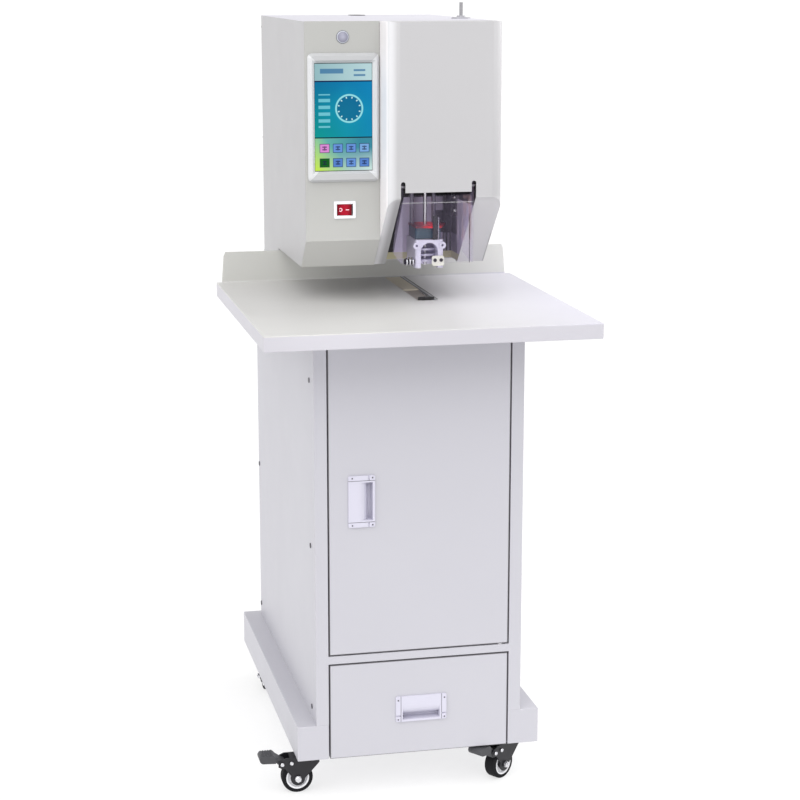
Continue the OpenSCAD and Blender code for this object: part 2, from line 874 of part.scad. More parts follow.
module head_casing() {
    x1 = head_w / 2;
    color(paint) machine_frame() difference() {
        union() {
            along_x(-x1, -x1 + sheet) head_side(chamfer_sum, sheet + seat);
            along_x(x1 - sheet, x1) head_side(block_sum, 0);
            block([-x1, panel_y + sheet + seat, head_top - sheet], [x1, cab_d, head_top]);
            both_sides() block([x1 - flange, cab_d - sheet, roof_z], [x1, cab_d, head_top]);
        }
        translate([feed_x, feed_y, head_top - sheet - 1])
            cylinder(r = feed_rod_r + 3, h = sheet + 2);
        for (x = [-rear_screw_x, rear_screw_x], z = cover_screw_z)
            translate([x, cab_d - sheet - 1, z]) rotate([-90, 0, 0])
                cylinder(r = fastener_r + seat, h = sheet + 2);
    }
}

module rear_cover() {
    x1 = head_w / 2 - 3;
    color(paint) machine_frame() difference() {
        block([-x1, cab_d, roof_z + 1], [x1, cab_d + sheet, head_top - 1]);
        for (x = [-70, 70], i = [0:9])
            translate([x, 0, 930 + 14 * i])
                along_y(cab_d - 1, cab_d + sheet + 1) soft_rect([-45, 0], [45, 5], 2.4);
        for (x = [-rear_screw_x, rear_screw_x], z = cover_screw_z)
            translate([x, cab_d - 1, z]) rotate([-90, 0, 0])
                cylinder(r = fastener_r + seat, h = sheet + 2);
    }
}

display_x = bezel_x + (bezel_w - display_w) / 2;
display_z = bezel_z + (bezel_h - display_h) / 2 + 1;
sensor_x = -90.4;
sensor_z = head_top - 24;
rocker_x = -88.7;
rocker_z = (bezel_z + chamfer_z) / 2 + 2.5;

module control_panel() {
    y = panel_y;
    s = sheet;
    k = sheet * tan(22.5);
    foot_y = chamfer_sum - head_z;
    color(panel_paint) machine_frame() difference() {
        along_x(-head_w / 2, block_x) polygon([
            [y, head_top], [y, chamfer_z], [foot_y, head_z], [foot_y + foot_lip, head_z],
            [foot_y + foot_lip, head_z + s], [foot_y + k, head_z + s],
            [y + s, chamfer_z + k], [y + s, head_top]
        ]);
        block([display_x - 3, y - 1, display_z - 3],
              [display_x + display_w + 3, y + s + 1, display_z + display_h + 3]);
        block([rocker_x - rocker_w / 2 + 3, y - 1, rocker_z - rocker_h / 2 + 3],
              [rocker_x + rocker_w / 2 - 3, y + s + 1, rocker_z + rocker_h / 2 - 3]);
        translate([sensor_x, y - 1, sensor_z]) rotate([-90, 0, 0])
            cylinder(r = sensor_r - 2, h = s + 2);
    }
}

// Plan of the tool block, drawn in X and Y and drawn in by d
module block_plan(d) {
    x0 = block_x + d;
    x1 = head_w / 2 - d;
    y0 = block_y + d;
    r = block_r - d;
    rect_span([x0, y0 + r], [x1, panel_y]);
    rect_span([x0 + r, y0], [x1 - r, y0 + r + tiny]);
    for (x = [x0 + r, x1 - r]) translate([x, y0 + r]) circle(r, $fn = 64);
}

// Everything behind and above the slanting underside, moved inwards by d
module above_slant(d) {
    far = 400;
    low = block_sum + d * sqrt(2);
    along_x(-head_w, head_w) polygon([
        [block_y - 20, low - block_y + 20], [far, low - far],
        [far, head_top + 50], [block_y - 20, head_top + 50]
    ]);
}

module block_cover() {
    slot_x = [window_x, window_x1 - slot_w];
    far_y = panel_y + sheet;
    foot_y = block_sum - head_z;
    color(paint) machine_frame() difference() {
        union() {
            intersection() {
                along_z(head_z, head_top) block_plan(0);
                above_slant(0);
            }
            intersection() {
                block([block_x + seat, panel_y - tiny, head_z],
                      [head_w / 2, foot_y + foot_lip, chamfer_z + 10]);
                above_slant(0);
            }
        }
        intersection() {
            along_z(head_z - 1, head_top - block_t) block_plan(block_t);
            above_slant(block_t);
        }
        intersection() {
            block([block_x + seat + block_t, panel_y - 1, head_z + block_t],
                  [head_w / 2 - block_t, foot_y + foot_lip + 1, head_top]);
            above_slant(block_t);
        }
        // The casing's side passes outside the block's rear lip
        block([head_w / 2 - sheet - seat, far_y, head_z - 1],
              [head_w / 2 + 1, foot_y + 20, head_top + 1]);
        block([window_x, block_y - 1, head_z - 1], [window_x1, foot_y + 20, window_z]);
        for (x = slot_x) {
            block([x, block_y - 1, window_z - 1],
                  [x + slot_w, block_y + block_t + 1, window_z + slot_h - slot_w / 2]);
            translate([x + slot_w / 2, block_y - 1, window_z + slot_h - slot_w / 2])
                rotate([-90, 0, 0]) cylinder(r = slot_w / 2, h = block_t + 2);
        }
    }
}

// Dark sheet box behind the window

back_y = 236;
liner_t = 1.2;
hinge_y = block_y + 9;
hinge_z = window_z + 9;

module window_liner() {
    x0 = window_x - seat - liner_t;
    x1 = window_x1 + seat + liner_t;
    roof = tool_shelf_z - seat;
    bracket_x = window_x1 - 3.5;
    bracket_y = back_y - 34;
    color(dark) machine_frame() {
        difference() {
            intersection() {
                block([x0, block_y + block_t + seat, head_z + 2], [x1, back_y, roof]);
                above_slant(block_t + seat);
            }
            block([x0 + liner_t, block_y - 1, head_z], [x1 - liner_t, back_y - liner_t, roof + 1]);
            translate([x0 - 1, hinge_y, hinge_z]) rotate([0, 90, 0])
                cylinder(r = guard_pin_r + run, h = x1 - x0 + 2);
        }
        // Bracket with two screws in the upper right corner
        block([bracket_x - 5, bracket_y, window_z - 52],
              [x1 - liner_t + tiny, back_y - liner_t + tiny, window_z - 1]);
        for (drop = [43, 22])
            translate([bracket_x, bracket_y, window_z - drop]) rotate([90, 0, 0])
                cylinder(r = 2.3, h = 1.6);
    }
}

module guard_rod() {
    x0 = window_x - seat - liner_t - 6;
    x1 = window_x1 + seat + liner_t + 6;
    color(steel) machine_frame()
        translate([x0, hinge_y, hinge_z]) rotate([0, 90, 0])
            cylinder(r = guard_pin_r, h = x1 - x0);
}

guard_front = block_y + 5;
guard_bend = 934;
guard_top = window_z - 5;
guard_x0 = window_x + (slot_w - guard_t) / 2;
guard_x1 = window_x1 - (slot_w - guard_t) / 2;
lug_r = 5.5;

// Side of the guard in Y and Z
module guard_side() {
    rear = guard_front + guard_deep;
    translate([hinge_y, hinge_z]) circle(lug_r);
    polygon([
        [guard_front, guard_z], [guard_front, guard_bend], [guard_front + 2.5, guard_top],
        [hinge_y - lug_r, hinge_z], [hinge_y + lug_r * 0.94, hinge_z - lug_r * 0.34],
        [rear, guard_z + 16], [rear, guard_z + 10], [guard_front + 30, guard_z + 3]
    ]);
}

module guard() {
    color([0.72, 0.70, 0.82, 0.4]) machine_frame() difference() {
        union() {
            for (x = [guard_x0, guard_x1 - guard_t]) along_x(x, x + guard_t) guard_side();
            along_x(guard_x0 + tiny, guard_x1 - tiny) polygon([
                [guard_front, guard_z], [guard_front, guard_bend], [guard_front + 2.5, guard_top],
                [guard_front + 2.5 + guard_t, guard_top], [guard_front + guard_t, guard_bend],
                [guard_front + guard_t, guard_z]
            ]);
        }
        translate([guard_x0 - 1, hinge_y, hinge_z]) rotate([0, 90, 0])
            cylinder(r = guard_pin_r + run, h = guard_x1 - guard_x0 + 2);
    }
}

// Drilling tools

rod_off = foot_w / 2 - 5;
rod_x = [tool_x - rod_off, tool_x + rod_off];
rod_y = tool_y + 16;
tool_shelf_z = 960;
tool_shelf_t = 12;
frame_top = head_top - 20;
frame_back = 290;
post_x = [tool_x - 38, tool_x + 38];
post_y = 250;
screw_y = 262;
carriage_z = 1060;
carriage_t = 25;
rod_top = tool_shelf_z + tool_shelf_t + 18;

module round_bar(x, y, z, r, h) {
    translate([x, y, z]) cylinder(r = r, h = h);
}

module press_foot() {
    x0 = tool_x - foot_w / 2;
    y0 = tool_y - foot_d / 2;
    ear_x = [x0 + 2, x0 + foot_w - 2];
    ear_z = foot_top - 9;
    arch_r = foot_w / 2 - foot_wall;
    bowl_r = arch_r + 1;
    roof_t = 4;
    arch_z = foot_top - roof_t - 1 - arch_r;
    rib_t = 3;
    color([0.78, 0.78, 0.82]) machine_frame() {
        difference() {
            union() {
                along_z(foot_z, foot_top)
                    soft_rect([x0, y0], [x0 + foot_w, y0 + foot_d], 4);
                // Ears on both sides of the front
                for (x = ear_x)
                    translate([x, y0 + 6, ear_z]) rotate([90, 0, 0]) cylinder(r = 5.5, h = 8);
            }
            // Arched opening in the front, round in plan at its back
            along_y(y0 - 5, tool_y) {
                translate([tool_x, arch_z]) circle(arch_r);
                rect_span([tool_x - arch_r, foot_z - 1], [tool_x + arch_r, arch_z]);
            }
            round_bar(tool_x, tool_y, foot_z - 1, bowl_r, foot_h + 1 - roof_t);
            // Way for the drill
            round_bar(tool_x, tool_y, foot_z - 1, drill_r + 1, foot_h + 2);
            for (x = ear_x)
                translate([x, y0 + 8, ear_z]) rotate([90, 0, 0]) cylinder(r = 2, h = 20);
            for (x = rod_x) round_bar(x, rod_y, foot_top - 20, press_rod_r + run, 21);
        }
        // Ribs that step down round the drill
        for (i = [0:2])
            translate([tool_x, tool_y, foot_z + 8 + 9 * i]) difference() {
                cylinder(r = bowl_r + 1, h = rib_t);
                translate([0, 0, -1]) cylinder(r = bowl_r - 11 + 3 * i, h = rib_t + 2);
            }
    }
}

module press_block() {
    x0 = tool_x - foot_w / 2 + 2;
    color([0.20, 0.27, 0.30]) machine_frame() difference() {
        along_z(foot_top, block_top)
            soft_rect([x0, tool_y - 24], [x0 + foot_w - 4, rod_y + 12], 5);
        round_bar(tool_x, tool_y, foot_top - 1, drill_r + 1, 25);
        for (x = rod_x) round_bar(x, rod_y, foot_top - 1, press_rod_r + run, 25);
    }
}

module press_plate() {
    x0 = tool_x - foot_w / 2 + 2;
    color([0.75, 0.10, 0.12]) machine_frame() difference() {
        along_z(block_top, plate_top) polygon([
            [x0, tool_y - 26], [tool_x + 20, tool_y - 30], [tool_x + 36, rod_y - 6],
            [tool_x + 36, rod_y + 4], [tool_x + 28, rod_y + 12], [x0, rod_y + 12]
        ]);
        round_bar(tool_x, tool_y, block_top - 1, drill_r + 1, 6);
        for (x = rod_x) round_bar(x, rod_y, block_top - 1, press_rod_r + run, 6);
    }
}

module press_rods() {
    color(steel) machine_frame() for (x = rod_x)
        round_bar(x, rod_y, foot_top - 20 + seat, press_rod_r, rod_top - foot_top + 20);
}

module tool_frame() {
    half_w = 55;
    x0 = tool_x - half_w;
    x1 = tool_x + half_w;
    y0 = tool_y - 33;
    shelf_top = tool_shelf_z + tool_shelf_t;
    color(dark) machine_frame() difference() {
        union() {
            block([x0, y0, tool_shelf_z], [x1, frame_back, shelf_top]);
            block([x0, frame_back - 6, head_z + 2], [x1, frame_back, frame_top]);
            block([x0, y0 + 50, frame_top - 6], [x1, frame_back, frame_top]);
            for (x = [x0, x1 - 5])
                along_x(x, x + 5) polygon([
                    [frame_back - 5, shelf_top - 1], [y0 + 20, shelf_top - 1],
                    [frame_back - 20, frame_top - 40], [frame_back - 5, frame_top - 40]
                ]);
        }
        round_bar(tool_x, tool_y, tool_shelf_z - 1, drill_r + 2, tool_shelf_t + 2);
        for (x = rod_x)
            round_bar(x, rod_y, tool_shelf_z - 1, press_rod_r + run, tool_shelf_t + 2);
        for (x = post_x) {
            round_bar(x, post_y, shelf_top - 8, post_r + run, 9);
            round_bar(x, post_y, frame_top - 7, post_r + run, 8);
        }
        round_bar(tool_x, screw_y, tool_shelf_z - 1, lift_r + run, tool_shelf_t + 2);
        round_bar(tool_x, screw_y, frame_top - 7, lift_r + run, 8);
    }
}

module guide_posts() {
    z0 = tool_shelf_z + tool_shelf_t - 8 + seat;
    color(steel) machine_frame() for (x = post_x)
        round_bar(x, post_y, z0, post_r, frame_top - z0);
}

module lift_motor() {
    size = 40;
    z1 = tool_shelf_z;
    color(dark) machine_frame() difference() {
        along_z(z1 - 52, z1)
            soft_rect([tool_x - size / 2, screw_y - size / 2],
                      [tool_x + size / 2, screw_y + size / 2], 4);
        round_bar(tool_x, screw_y, z1 - 20, lift_r + run, 22);
    }
}

module lift_screw() {
    z0 = tool_shelf_z - 20 + seat;
    color(steel) machine_frame()
        round_bar(tool_x, screw_y, z0, lift_r, frame_top - 1 - z0);
}

module drill_carriage() {
    color([0.55, 0.56, 0.60]) machine_frame() difference() {
        union() {
            along_z(carriage_z, carriage_z + carriage_t)
                soft_rect([tool_x - 50, tool_y - 26], [tool_x + 50, screw_y + 14], 6);
            round_bar(tool_x, tool_y, carriage_z - 12, 16, 13);
        }
        round_bar(tool_x, tool_y, carriage_z - 13, 8 + run, carriage_t + 14);
        for (x = post_x) round_bar(x, post_y, carriage_z - 1, post_r + run, carriage_t + 2);
        round_bar(tool_x, screw_y, carriage_z - 1, lift_r + run, carriage_t + 2);
    }
}

motor_h = 78;

module drill_motor() {
    color([0.30, 0.30, 0.33]) machine_frame() difference() {
        union() {
            round_bar(tool_x, tool_y, carriage_z + carriage_t, 23, motor_h);
            round_bar(tool_x, tool_y, carriage_z + carriage_t + motor_h - 1, 10, 9);
        }
        round_bar(tool_x, tool_y, carriage_z + carriage_t - 1, 8 + run, 13);
    }
}

module drill_spindle() {
    tip_z = foot_z + 1;
    shank_z = carriage_z - 12;
    color([0.80, 0.80, 0.82]) machine_frame() {
        round_bar(tool_x, tool_y, tip_z, drill_r, shank_z - tip_z - 20 + tiny);
        round_bar(tool_x, tool_y, shank_z - 20, 11, 20 - seat);
        round_bar(tool_x, tool_y, shank_z - 1, 8, carriage_t + 24 - seat);
    }
}

// Screen, sensor, switch and tube feed

module screen_bezel() {
    depth = 7;
    x1 = bezel_x + bezel_w;
    z1 = bezel_z + bezel_h;
    in = 4;
    y = panel_y;
    rim = 8;
    color([0.88, 0.88, 0.92]) machine_frame() difference() {
        hull() {
            along_y(y - 2, y) soft_rect([bezel_x, bezel_z], [x1, z1], 8, $fn = 32);
            along_y(y - depth, y - depth + 0.1)
                soft_rect([bezel_x + in, bezel_z + in], [x1 - in, z1 - in], 6, $fn = 32);
        }
        hull() {
            along_y(y - depth - 0.1, y - depth)
                rect_span([display_x - rim / 2, display_z - rim / 2],
                          [display_x + display_w + rim / 2, display_z + display_h + rim / 2]);
            along_y(y - 2.6, y - 2.5)
                rect_span([display_x, display_z], [display_x + display_w, display_z + display_h]);
        }
        block([display_x, y - 4, display_z],
              [display_x + display_w, y + 1, display_z + display_h]);
        block([display_x - 2, y - 2, display_z - 2],
              [display_x + display_w + 2, y + 1, display_z + display_h + 2]);
    }
}

module touch_screen() {
    y = panel_y;
    color([0.15, 0.55, 0.75]) machine_frame() {
        block([display_x - 1.7, y - 2, display_z - 1.7],
              [display_x + display_w + 1.7, y + 9, display_z + display_h + 1.7]);
    }
}

module sensor_lens() {
    dome = 3.2;
    ball = (sensor_r * sensor_r + dome * dome) / (2 * dome);
    color([0.80, 0.80, 0.92]) machine_frame() translate([sensor_x, panel_y, sensor_z])
        rotate([90, 0, 0]) {
            intersection() {
                translate([0, 0, dome - ball + 0.6]) sphere(r = ball, $fn = 96);
                cylinder(r = sensor_r, h = dome + 2);
            }
            translate([0, 0, -8]) cylinder(r = sensor_r - 2 - seat, h = 8 + tiny);
        }
}

rocker_wall = 3;

module rocker_frame() {
    w = rocker_w / 2;
    h = rocker_h / 2;
    t = rocker_wall;
    depth = 14;
    color("white") machine_frame() translate([rocker_x, panel_y, rocker_z]) difference() {
        union() {
            along_y(-2.4, 0) soft_rect([-w, -h], [w, h], 1.5);
            block([-w + t + seat, -1, -h + t + seat], [w - t - seat, depth, h - t - seat]);
        }
        block([-w + t + 1.5, -4, -h + t + 1.5], [w - t - 1.5, depth - 2, h - t - 1.5]);
        translate([0, 4, 0]) cylinder(r = 1.5 + run, h = rocker_h, center = true);
    }
}

rock_angle = 8;

module rocker() {
    w = rocker_w / 2 - rocker_wall - 1.5 - seat;
    h = rocker_h / 2 - rocker_wall - 1.5 - seat;
    color([0.75, 0.05, 0.15]) machine_frame()
        translate([rocker_x, panel_y + 4, rocker_z]) rotate([0, 0, -rock_angle]) {
            along_z(-h, h) polygon([
                [-w + 1, -6.4], [-w / 2, -5.7], [0, -5.2], [w / 2, -5.7], [w - 1, -6.4],
                [w - 1.4, -2], [3, 2], [-3, 2], [-w + 1.4, -2]
            ]);
            translate([0, 0, -h - 1]) cylinder(r = 1.5, h = 2 * h + 2);
        }
}

module feed_flange() {
    color([0.82, 0.82, 0.84]) machine_frame() translate([feed_x, feed_y, head_top]) difference() {
        union() {
            cylinder(r = feed_r, h = 2.4);
            cylinder(r = feed_rod_r + 4, h = 5);
            translate([0, 0, -14]) cylinder(r = feed_rod_r + 3 - seat, h = 15);
        }
        translate([0, 0, -15]) cylinder(r = feed_rod_r + run, h = 30);
    }
}

module feed_rod() {
    below = 60;
    color(steel) machine_frame() translate([feed_x, feed_y, head_top]) {
        translate([0, 0, -below]) cylinder(r = feed_rod_r, h = below + feed_up);
    }
}

module caster_fork_front_left() caster_fork(0, true);
module caster_fork_front_right() caster_fork(1, true);
module caster_fork_rear_left() caster_fork(2, false);
module caster_fork_rear_right() caster_fork(3, false);
module wheel_front_left() wheel(0);
module wheel_front_right() wheel(1);
module wheel_rear_left() wheel(2);
module wheel_rear_right() wheel(3);
module brake_pedal_left() brake_pedal(0);
module brake_pedal_right() brake_pedal(1);

base_frame();
caster_plates();
left_side_panel();
right_side_panel();
front_frame();
back_panel();
cabinet_shelf();
drawer_runners();
hinge_pins();
panel_screws();
power_inlet();
worktop();
slot_cover();
slide_guide();
lower_die();
head_pillar();
head_base_plate();
head_casing();
rear_cover();
control_panel();
block_cover();
window_liner();
tool_frame();
guide_posts();
lift_motor();
screen_bezel();
touch_screen();
sensor_lens();
rocker_frame();
feed_flange();
guard_rod();
door();
door_pull();
drawer_front();
drawer_box();
drawer_slides();
drawer_pull();
guard();
press_foot();
press_block();
press_plate();
press_rods();
drill_carriage();
drill_motor();
drill_spindle();
lift_screw();
slide_bar();
slide_handle();
rocker();
feed_rod();
caster_fork_front_left();
caster_fork_front_right();
caster_fork_rear_left();
caster_fork_rear_right();
wheel_front_left();
wheel_front_right();
wheel_rear_left();
wheel_rear_right();
brake_pedal_left();
brake_pedal_right();
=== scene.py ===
"""Automatic paper drill on casters: finishes, small fittings, light and camera."""
import json
import math

import bmesh
import bpy
from mathutils import Matrix, Vector


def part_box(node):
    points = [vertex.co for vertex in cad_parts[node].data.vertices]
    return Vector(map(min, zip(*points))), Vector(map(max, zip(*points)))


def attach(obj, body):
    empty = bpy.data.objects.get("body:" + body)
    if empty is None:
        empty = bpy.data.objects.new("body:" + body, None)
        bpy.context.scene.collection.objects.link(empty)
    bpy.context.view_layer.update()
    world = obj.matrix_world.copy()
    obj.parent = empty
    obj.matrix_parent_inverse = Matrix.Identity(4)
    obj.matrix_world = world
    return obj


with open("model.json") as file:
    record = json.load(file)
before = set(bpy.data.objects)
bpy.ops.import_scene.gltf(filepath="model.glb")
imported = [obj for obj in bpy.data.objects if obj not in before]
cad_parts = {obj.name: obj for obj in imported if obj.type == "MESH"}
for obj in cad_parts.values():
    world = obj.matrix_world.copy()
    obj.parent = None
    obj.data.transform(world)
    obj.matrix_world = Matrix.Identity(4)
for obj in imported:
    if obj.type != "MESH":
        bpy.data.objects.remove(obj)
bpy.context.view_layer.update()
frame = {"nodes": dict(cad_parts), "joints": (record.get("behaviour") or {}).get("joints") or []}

bl_info = {
    "name": "Automatic Paper Drill",
    "version": (1, 0, 0),
    "blender": (4, 5, 0),
    "location": "3D View > Sidebar > Paper Drill",
    "description": "Finishes, fittings and studio for a floor-standing automatic paper drill",
    "category": "Object",
}

NODES = frame["nodes"]
JOINTS = {joint["name"]: joint for joint in frame["joints"]}
MM = 0.001
FRONT = 0.2415  # from the middle of the machine to the cabinet's front
WELD = 0.02 * MM  # points of a CAD mesh nearer than this are one


def at(x, y, z):
    """Point of the machine in millimetres, y counted from the cabinet's front."""
    return Vector((x * MM, y * MM - FRONT, z * MM))


def box_of(name):
    """Low and high corner of a CAD node, in the same millimetres."""
    return [(corner - at(0, 0, 0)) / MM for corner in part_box(name)]


def tone(red, green, blue):
    """Scene colour of a screen colour given as 0 to 255."""
    def one(value):
        value /= 255
        return value / 12.92 if value <= 0.04045 else ((value + 0.055) / 1.055) ** 2.4
    return (one(red), one(green), one(blue), 1.0)


def shade(base, factor):
    """A colour made lighter or darker."""
    return tuple(min(1.0, channel * factor) for channel in base[:3]) + (1.0,)


def colour(name, about, red, green, blue):
    return bpy.props.FloatVectorProperty(
        name=name, description=about, size=4, subtype="COLOR", min=0.0, max=1.0,
        default=tone(red, green, blue))


def length(name, about, millimetres):
    return bpy.props.FloatProperty(
        name=name, description=about, default=millimetres * MM, min=0.0,
        unit="LENGTH", subtype="DISTANCE")


def amount(name, about, value, top=10.0):
    return bpy.props.FloatProperty(
        name=name, description=about, default=value, min=0.0, max=top, subtype="FACTOR")


# Shader expressions

class Val:
    """A number socket of a material that takes part in sums."""

    def __init__(self, finish, socket):
        self.finish = finish
        self.socket = socket

    def maths(self, operation, *others):
        return self.finish.maths(operation, self, *others)

    def __add__(self, other):
        return self.maths("ADD", other)

    def __sub__(self, other):
        return self.maths("SUBTRACT", other)

    def __mul__(self, other):
        return self.maths("MULTIPLY", other)

    def __truediv__(self, other):
        return self.maths("DIVIDE", other)

    def __rsub__(self, other):
        return self.finish.maths("SUBTRACT", other, self)

    def __rtruediv__(self, other):
        return self.finish.maths("DIVIDE", other, self)

    __radd__ = __add__
    __rmul__ = __mul__

    def __abs__(self):
        return self.maths("ABSOLUTE")

    def clip(self):
        return self.finish.maths("ADD", self, 0.0, use_clamp=True)

    def turn(self):
        """The part after the decimal point."""
        return self.maths("FRACT")

    def below(self, edge, soft):
        """1 where the value is under the edge, 0 over it, with a soft step."""
        return ((edge - self) * (1.0 / soft) + 0.5).clip()

    def above(self, edge, soft):
        return 1 - self.below(edge, soft)

    def near(self, middle, half, soft):
        """1 where the value is less than half away from the middle."""
        return abs(self - middle).below(half, soft)


def inset(value, low, high):
    """Distance from the nearer of two ends."""
    return (high - low) / 2 - abs(value - (low + high) / 2)


def radius(across, up):
    return (across * across + up * up).maths("SQRT")


class Finish:
    """One material with a Principled shader."""

    def __init__(self, name, **constants):
        self.material = bpy.data.materials.new(name)
        self.material.use_nodes = True
        self.tree = self.material.node_tree
        self.tree.nodes.clear()
        self.shader = self.tree.nodes.new("ShaderNodeBsdfPrincipled")
        output = self.tree.nodes.new("ShaderNodeOutputMaterial")
        self.tree.links.new(self.shader.outputs[0], output.inputs["Surface"])
        self.place = self.tree.nodes.new("ShaderNodeTexCoord").outputs["Object"]
        self.set(**constants)

    def set(self, **values):
        for key, value in values.items():
            self.feed(self.shader.inputs[key.replace("_", " ")], value)

    def feed(self, socket, value):
        if isinstance(value, Val):
            self.tree.links.new(value.socket, socket)
        elif isinstance(value, bpy.types.NodeSocket):
            self.tree.links.new(value, socket)
        else:
            socket.default_value = value

    def tint(self, factor, over):
        """Lays a colour over what the base colour is so far."""
        under = self.shader.inputs["Base Color"].links[0].from_socket
        self.set(Base_Color=self.mix(factor, under, over))

    def node(self, kind, settings=None, inputs=None):
        made = self.tree.nodes.new(kind)
        for key, value in (settings or {}).items():
            setattr(made, key, value)
        for key, value in (inputs or {}).items():
            self.feed(made.inputs[key], value)
        return made

    def add(self, kind, settings=None, inputs=None, output=0):
        return Val(self, self.node(kind, settings, inputs).outputs[output])

    def maths(self, operation, *values, **settings):
        return self.add("ShaderNodeMath", {"operation": operation, **settings},
                        dict(enumerate(values)))

    def vector(self, operation, *values):
        return self.node("ShaderNodeVectorMath", {"operation": operation},
                         dict(enumerate(values))).outputs

    def parts(self, source):
        """The three numbers of a vector or a colour."""
        return [Val(self, socket)
                for socket in self.node("ShaderNodeSeparateXYZ", None, {0: source}).outputs]

    def axes(self):
        """Place on the machine in millimetres, y counted from the cabinet's front."""
        return self.parts(self.vector("MULTIPLY_ADD", self.place, (1 / MM,) * 3,
                                      (0.0, FRONT / MM, 0.0))[0])

    def noise(self, scale, detail=2.0, rough=0.5, stretch=None):
        where = self.vector("MULTIPLY", self.place, stretch)[0] if stretch else self.place
        return self.add("ShaderNodeTexNoise", None, {
            "Vector": where, "Scale": scale, "Detail": detail, "Roughness": rough})

    def mix(self, factor, first, second):
        return self.node("ShaderNodeMix", {"data_type": "RGBA"},
                         {0: factor, 6: first, 7: second}).outputs[2]

    def bump(self, height, strength, distance, under=None):
        inputs = {"Height": height, "Strength": strength, "Distance": distance}
        if under is not None:
            inputs["Normal"] = under
        return self.node("ShaderNodeBump", None, inputs).outputs[0]


def powder_coat(name, base, rough=0.42):
    """Oven paint: fine orange peel, slow tone drift and small clean flecks."""
    paint = Finish(name, Specular_IOR_Level=0.42)
    cloud = paint.noise(2.6, 3.0, 0.6)
    fleck = paint.noise(900.0, 2.0, 0.7)
    toned = paint.mix(cloud, shade(base, 0.965), shade(base, 1.035))
    paint.set(Base_Color=paint.mix(fleck.below(0.36, 0.04) * 0.10, toned, shade(base, 0.82)),
              Roughness=paint.noise(14.0, 4.0, 0.6) * 0.12 + (rough - 0.06))
    skin = paint.bump(paint.noise(420.0, 3.0, 0.55), 0.10, 0.0006)
    paint.set(Normal=paint.bump(paint.noise(1500.0, 2.0, 0.6), 0.06, 0.0002, skin))
    return paint


def bare_metal(name, base, rough=0.28, stretch=(1.0, 1.0, 1.0), grain=300.0, lustre=1.0):
    """Machined or drawn steel with fine lines along its working direction."""
    metal = Finish(name, Metallic=lustre)
    lines = metal.noise(grain, 3.0, 0.65, stretch)
    cloud = metal.noise(22.0, 3.0, 0.6)
    skin = metal.mix(cloud, shade(base, 0.90), shade(base, 1.06))
    metal.set(Base_Color=metal.mix(lines.below(0.40, 0.10) * 0.35, skin, shade(base, 0.70)),
              Roughness=lines * 0.16 + cloud * 0.10 + (rough - 0.13),
              Normal=metal.bump(lines, 0.10, 0.0003))
    return metal


def zinc_plate(name, base):
    """Plated sheet: pale spangle and a dull lustre."""
    metal = Finish(name, Metallic=0.85)
    cell = metal.node("ShaderNodeTexVoronoi", None, {"Vector": metal.place, "Scale": 130.0})
    flake = metal.parts(cell.outputs["Color"])[0]
    metal.set(Base_Color=metal.mix(flake, shade(base, 0.84), shade(base, 1.08)),
              Roughness=flake * 0.14 + metal.noise(40.0, 3.0) * 0.12 + 0.30,
              Normal=metal.bump(metal.noise(700.0, 3.0, 0.6), 0.12, 0.0003))
    return metal


def sand_cast(name, base):
    """Cast light alloy: a fine pitted skin with rubbed high spots."""
    metal = Finish(name, Metallic=0.35, Specular_IOR_Level=0.5)
    pits = metal.noise(520.0, 4.0, 0.65)
    skin = metal.mix(metal.noise(45.0, 3.0, 0.6), shade(base, 0.92), shade(base, 1.05))
    metal.set(Base_Color=metal.mix(pits.below(0.40, 0.08) * 0.30, skin, shade(base, 0.62)),
              Roughness=pits * 0.18 + 0.36,
              Normal=metal.bump(pits, 0.35, 0.0005))
    return metal


def moulded(name, base, rough=0.34, grain=800.0, depth=0.08, coat=0.0):
    """Moulded plastic: faint flow tone and a fine spark-eroded grain."""
    plastic = Finish(name, Specular_IOR_Level=0.5, Coat_Roughness=0.08, Coat_Weight=coat)
    flow = plastic.noise(9.0)
    plastic.set(Base_Color=plastic.mix(flow, shade(base, 0.965), shade(base, 1.03)),
                Roughness=plastic.noise(60.0, 3.0, 0.6) * 0.10 + (rough - 0.05),
                Normal=plastic.bump(plastic.noise(grain, 3.0, 0.6), depth, 0.0003))
    return plastic


# Mesh helpers

def give(finish, *nodes):
    """Puts a finish on CAD nodes."""
    for name in nodes:
        slots = NODES[name].data.materials
        if slots:
            for i in range(len(slots)):
                slots[i] = finish.material
        else:
            slots.append(finish.material)


def soften(width, *nodes):
    """Rounds the edges of CAD nodes a little, so that they catch the light."""
    steps = (("Weld", "WELD", {"merge_threshold": WELD}),
             ("Flat", "DECIMATE", {"decimate_type": "DISSOLVE",
                                   "angle_limit": math.radians(0.5)}),
             ("Edge", "BEVEL", {"width": width, "segments": 2, "limit_method": "ANGLE",
                                "angle_limit": math.radians(32), "use_clamp_overlap": True,
                                "miter_outer": "MITER_ARC", "harden_normals": True}))
    for name in nodes:
        for label, kind, settings in steps:
            modifier = NODES[name].modifiers.new(label, kind)
            for key, value in settings.items():
                setattr(modifier, key, value)


def linked(name, data):
    """A new object on its data, in the scene."""
    made = bpy.data.objects.new(name, data)
    bpy.context.scene.collection.objects.link(made)
    return made


def solid(name, mesh, finish):
    """A new object from a bmesh, with its finish."""
    data = bpy.data.meshes.new(name)
    mesh.to_mesh(data)
    mesh.free()
    data.materials.append(finish.material)
    return linked(name, data)


def piece_of(name, mesh, finish, body, smooth=True):
    """A new piece from a bmesh, with its finish, that rides on a body."""
    bmesh.ops.recalc_face_normals(mesh, faces=mesh.faces)
    piece = solid(name, mesh, finish)
    if smooth:
        for face in piece.data.polygons:
            face.use_smooth = True
        piece.modifiers.new("Sharp", "EDGE_SPLIT").split_angle = math.radians(35)
    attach(piece, body)


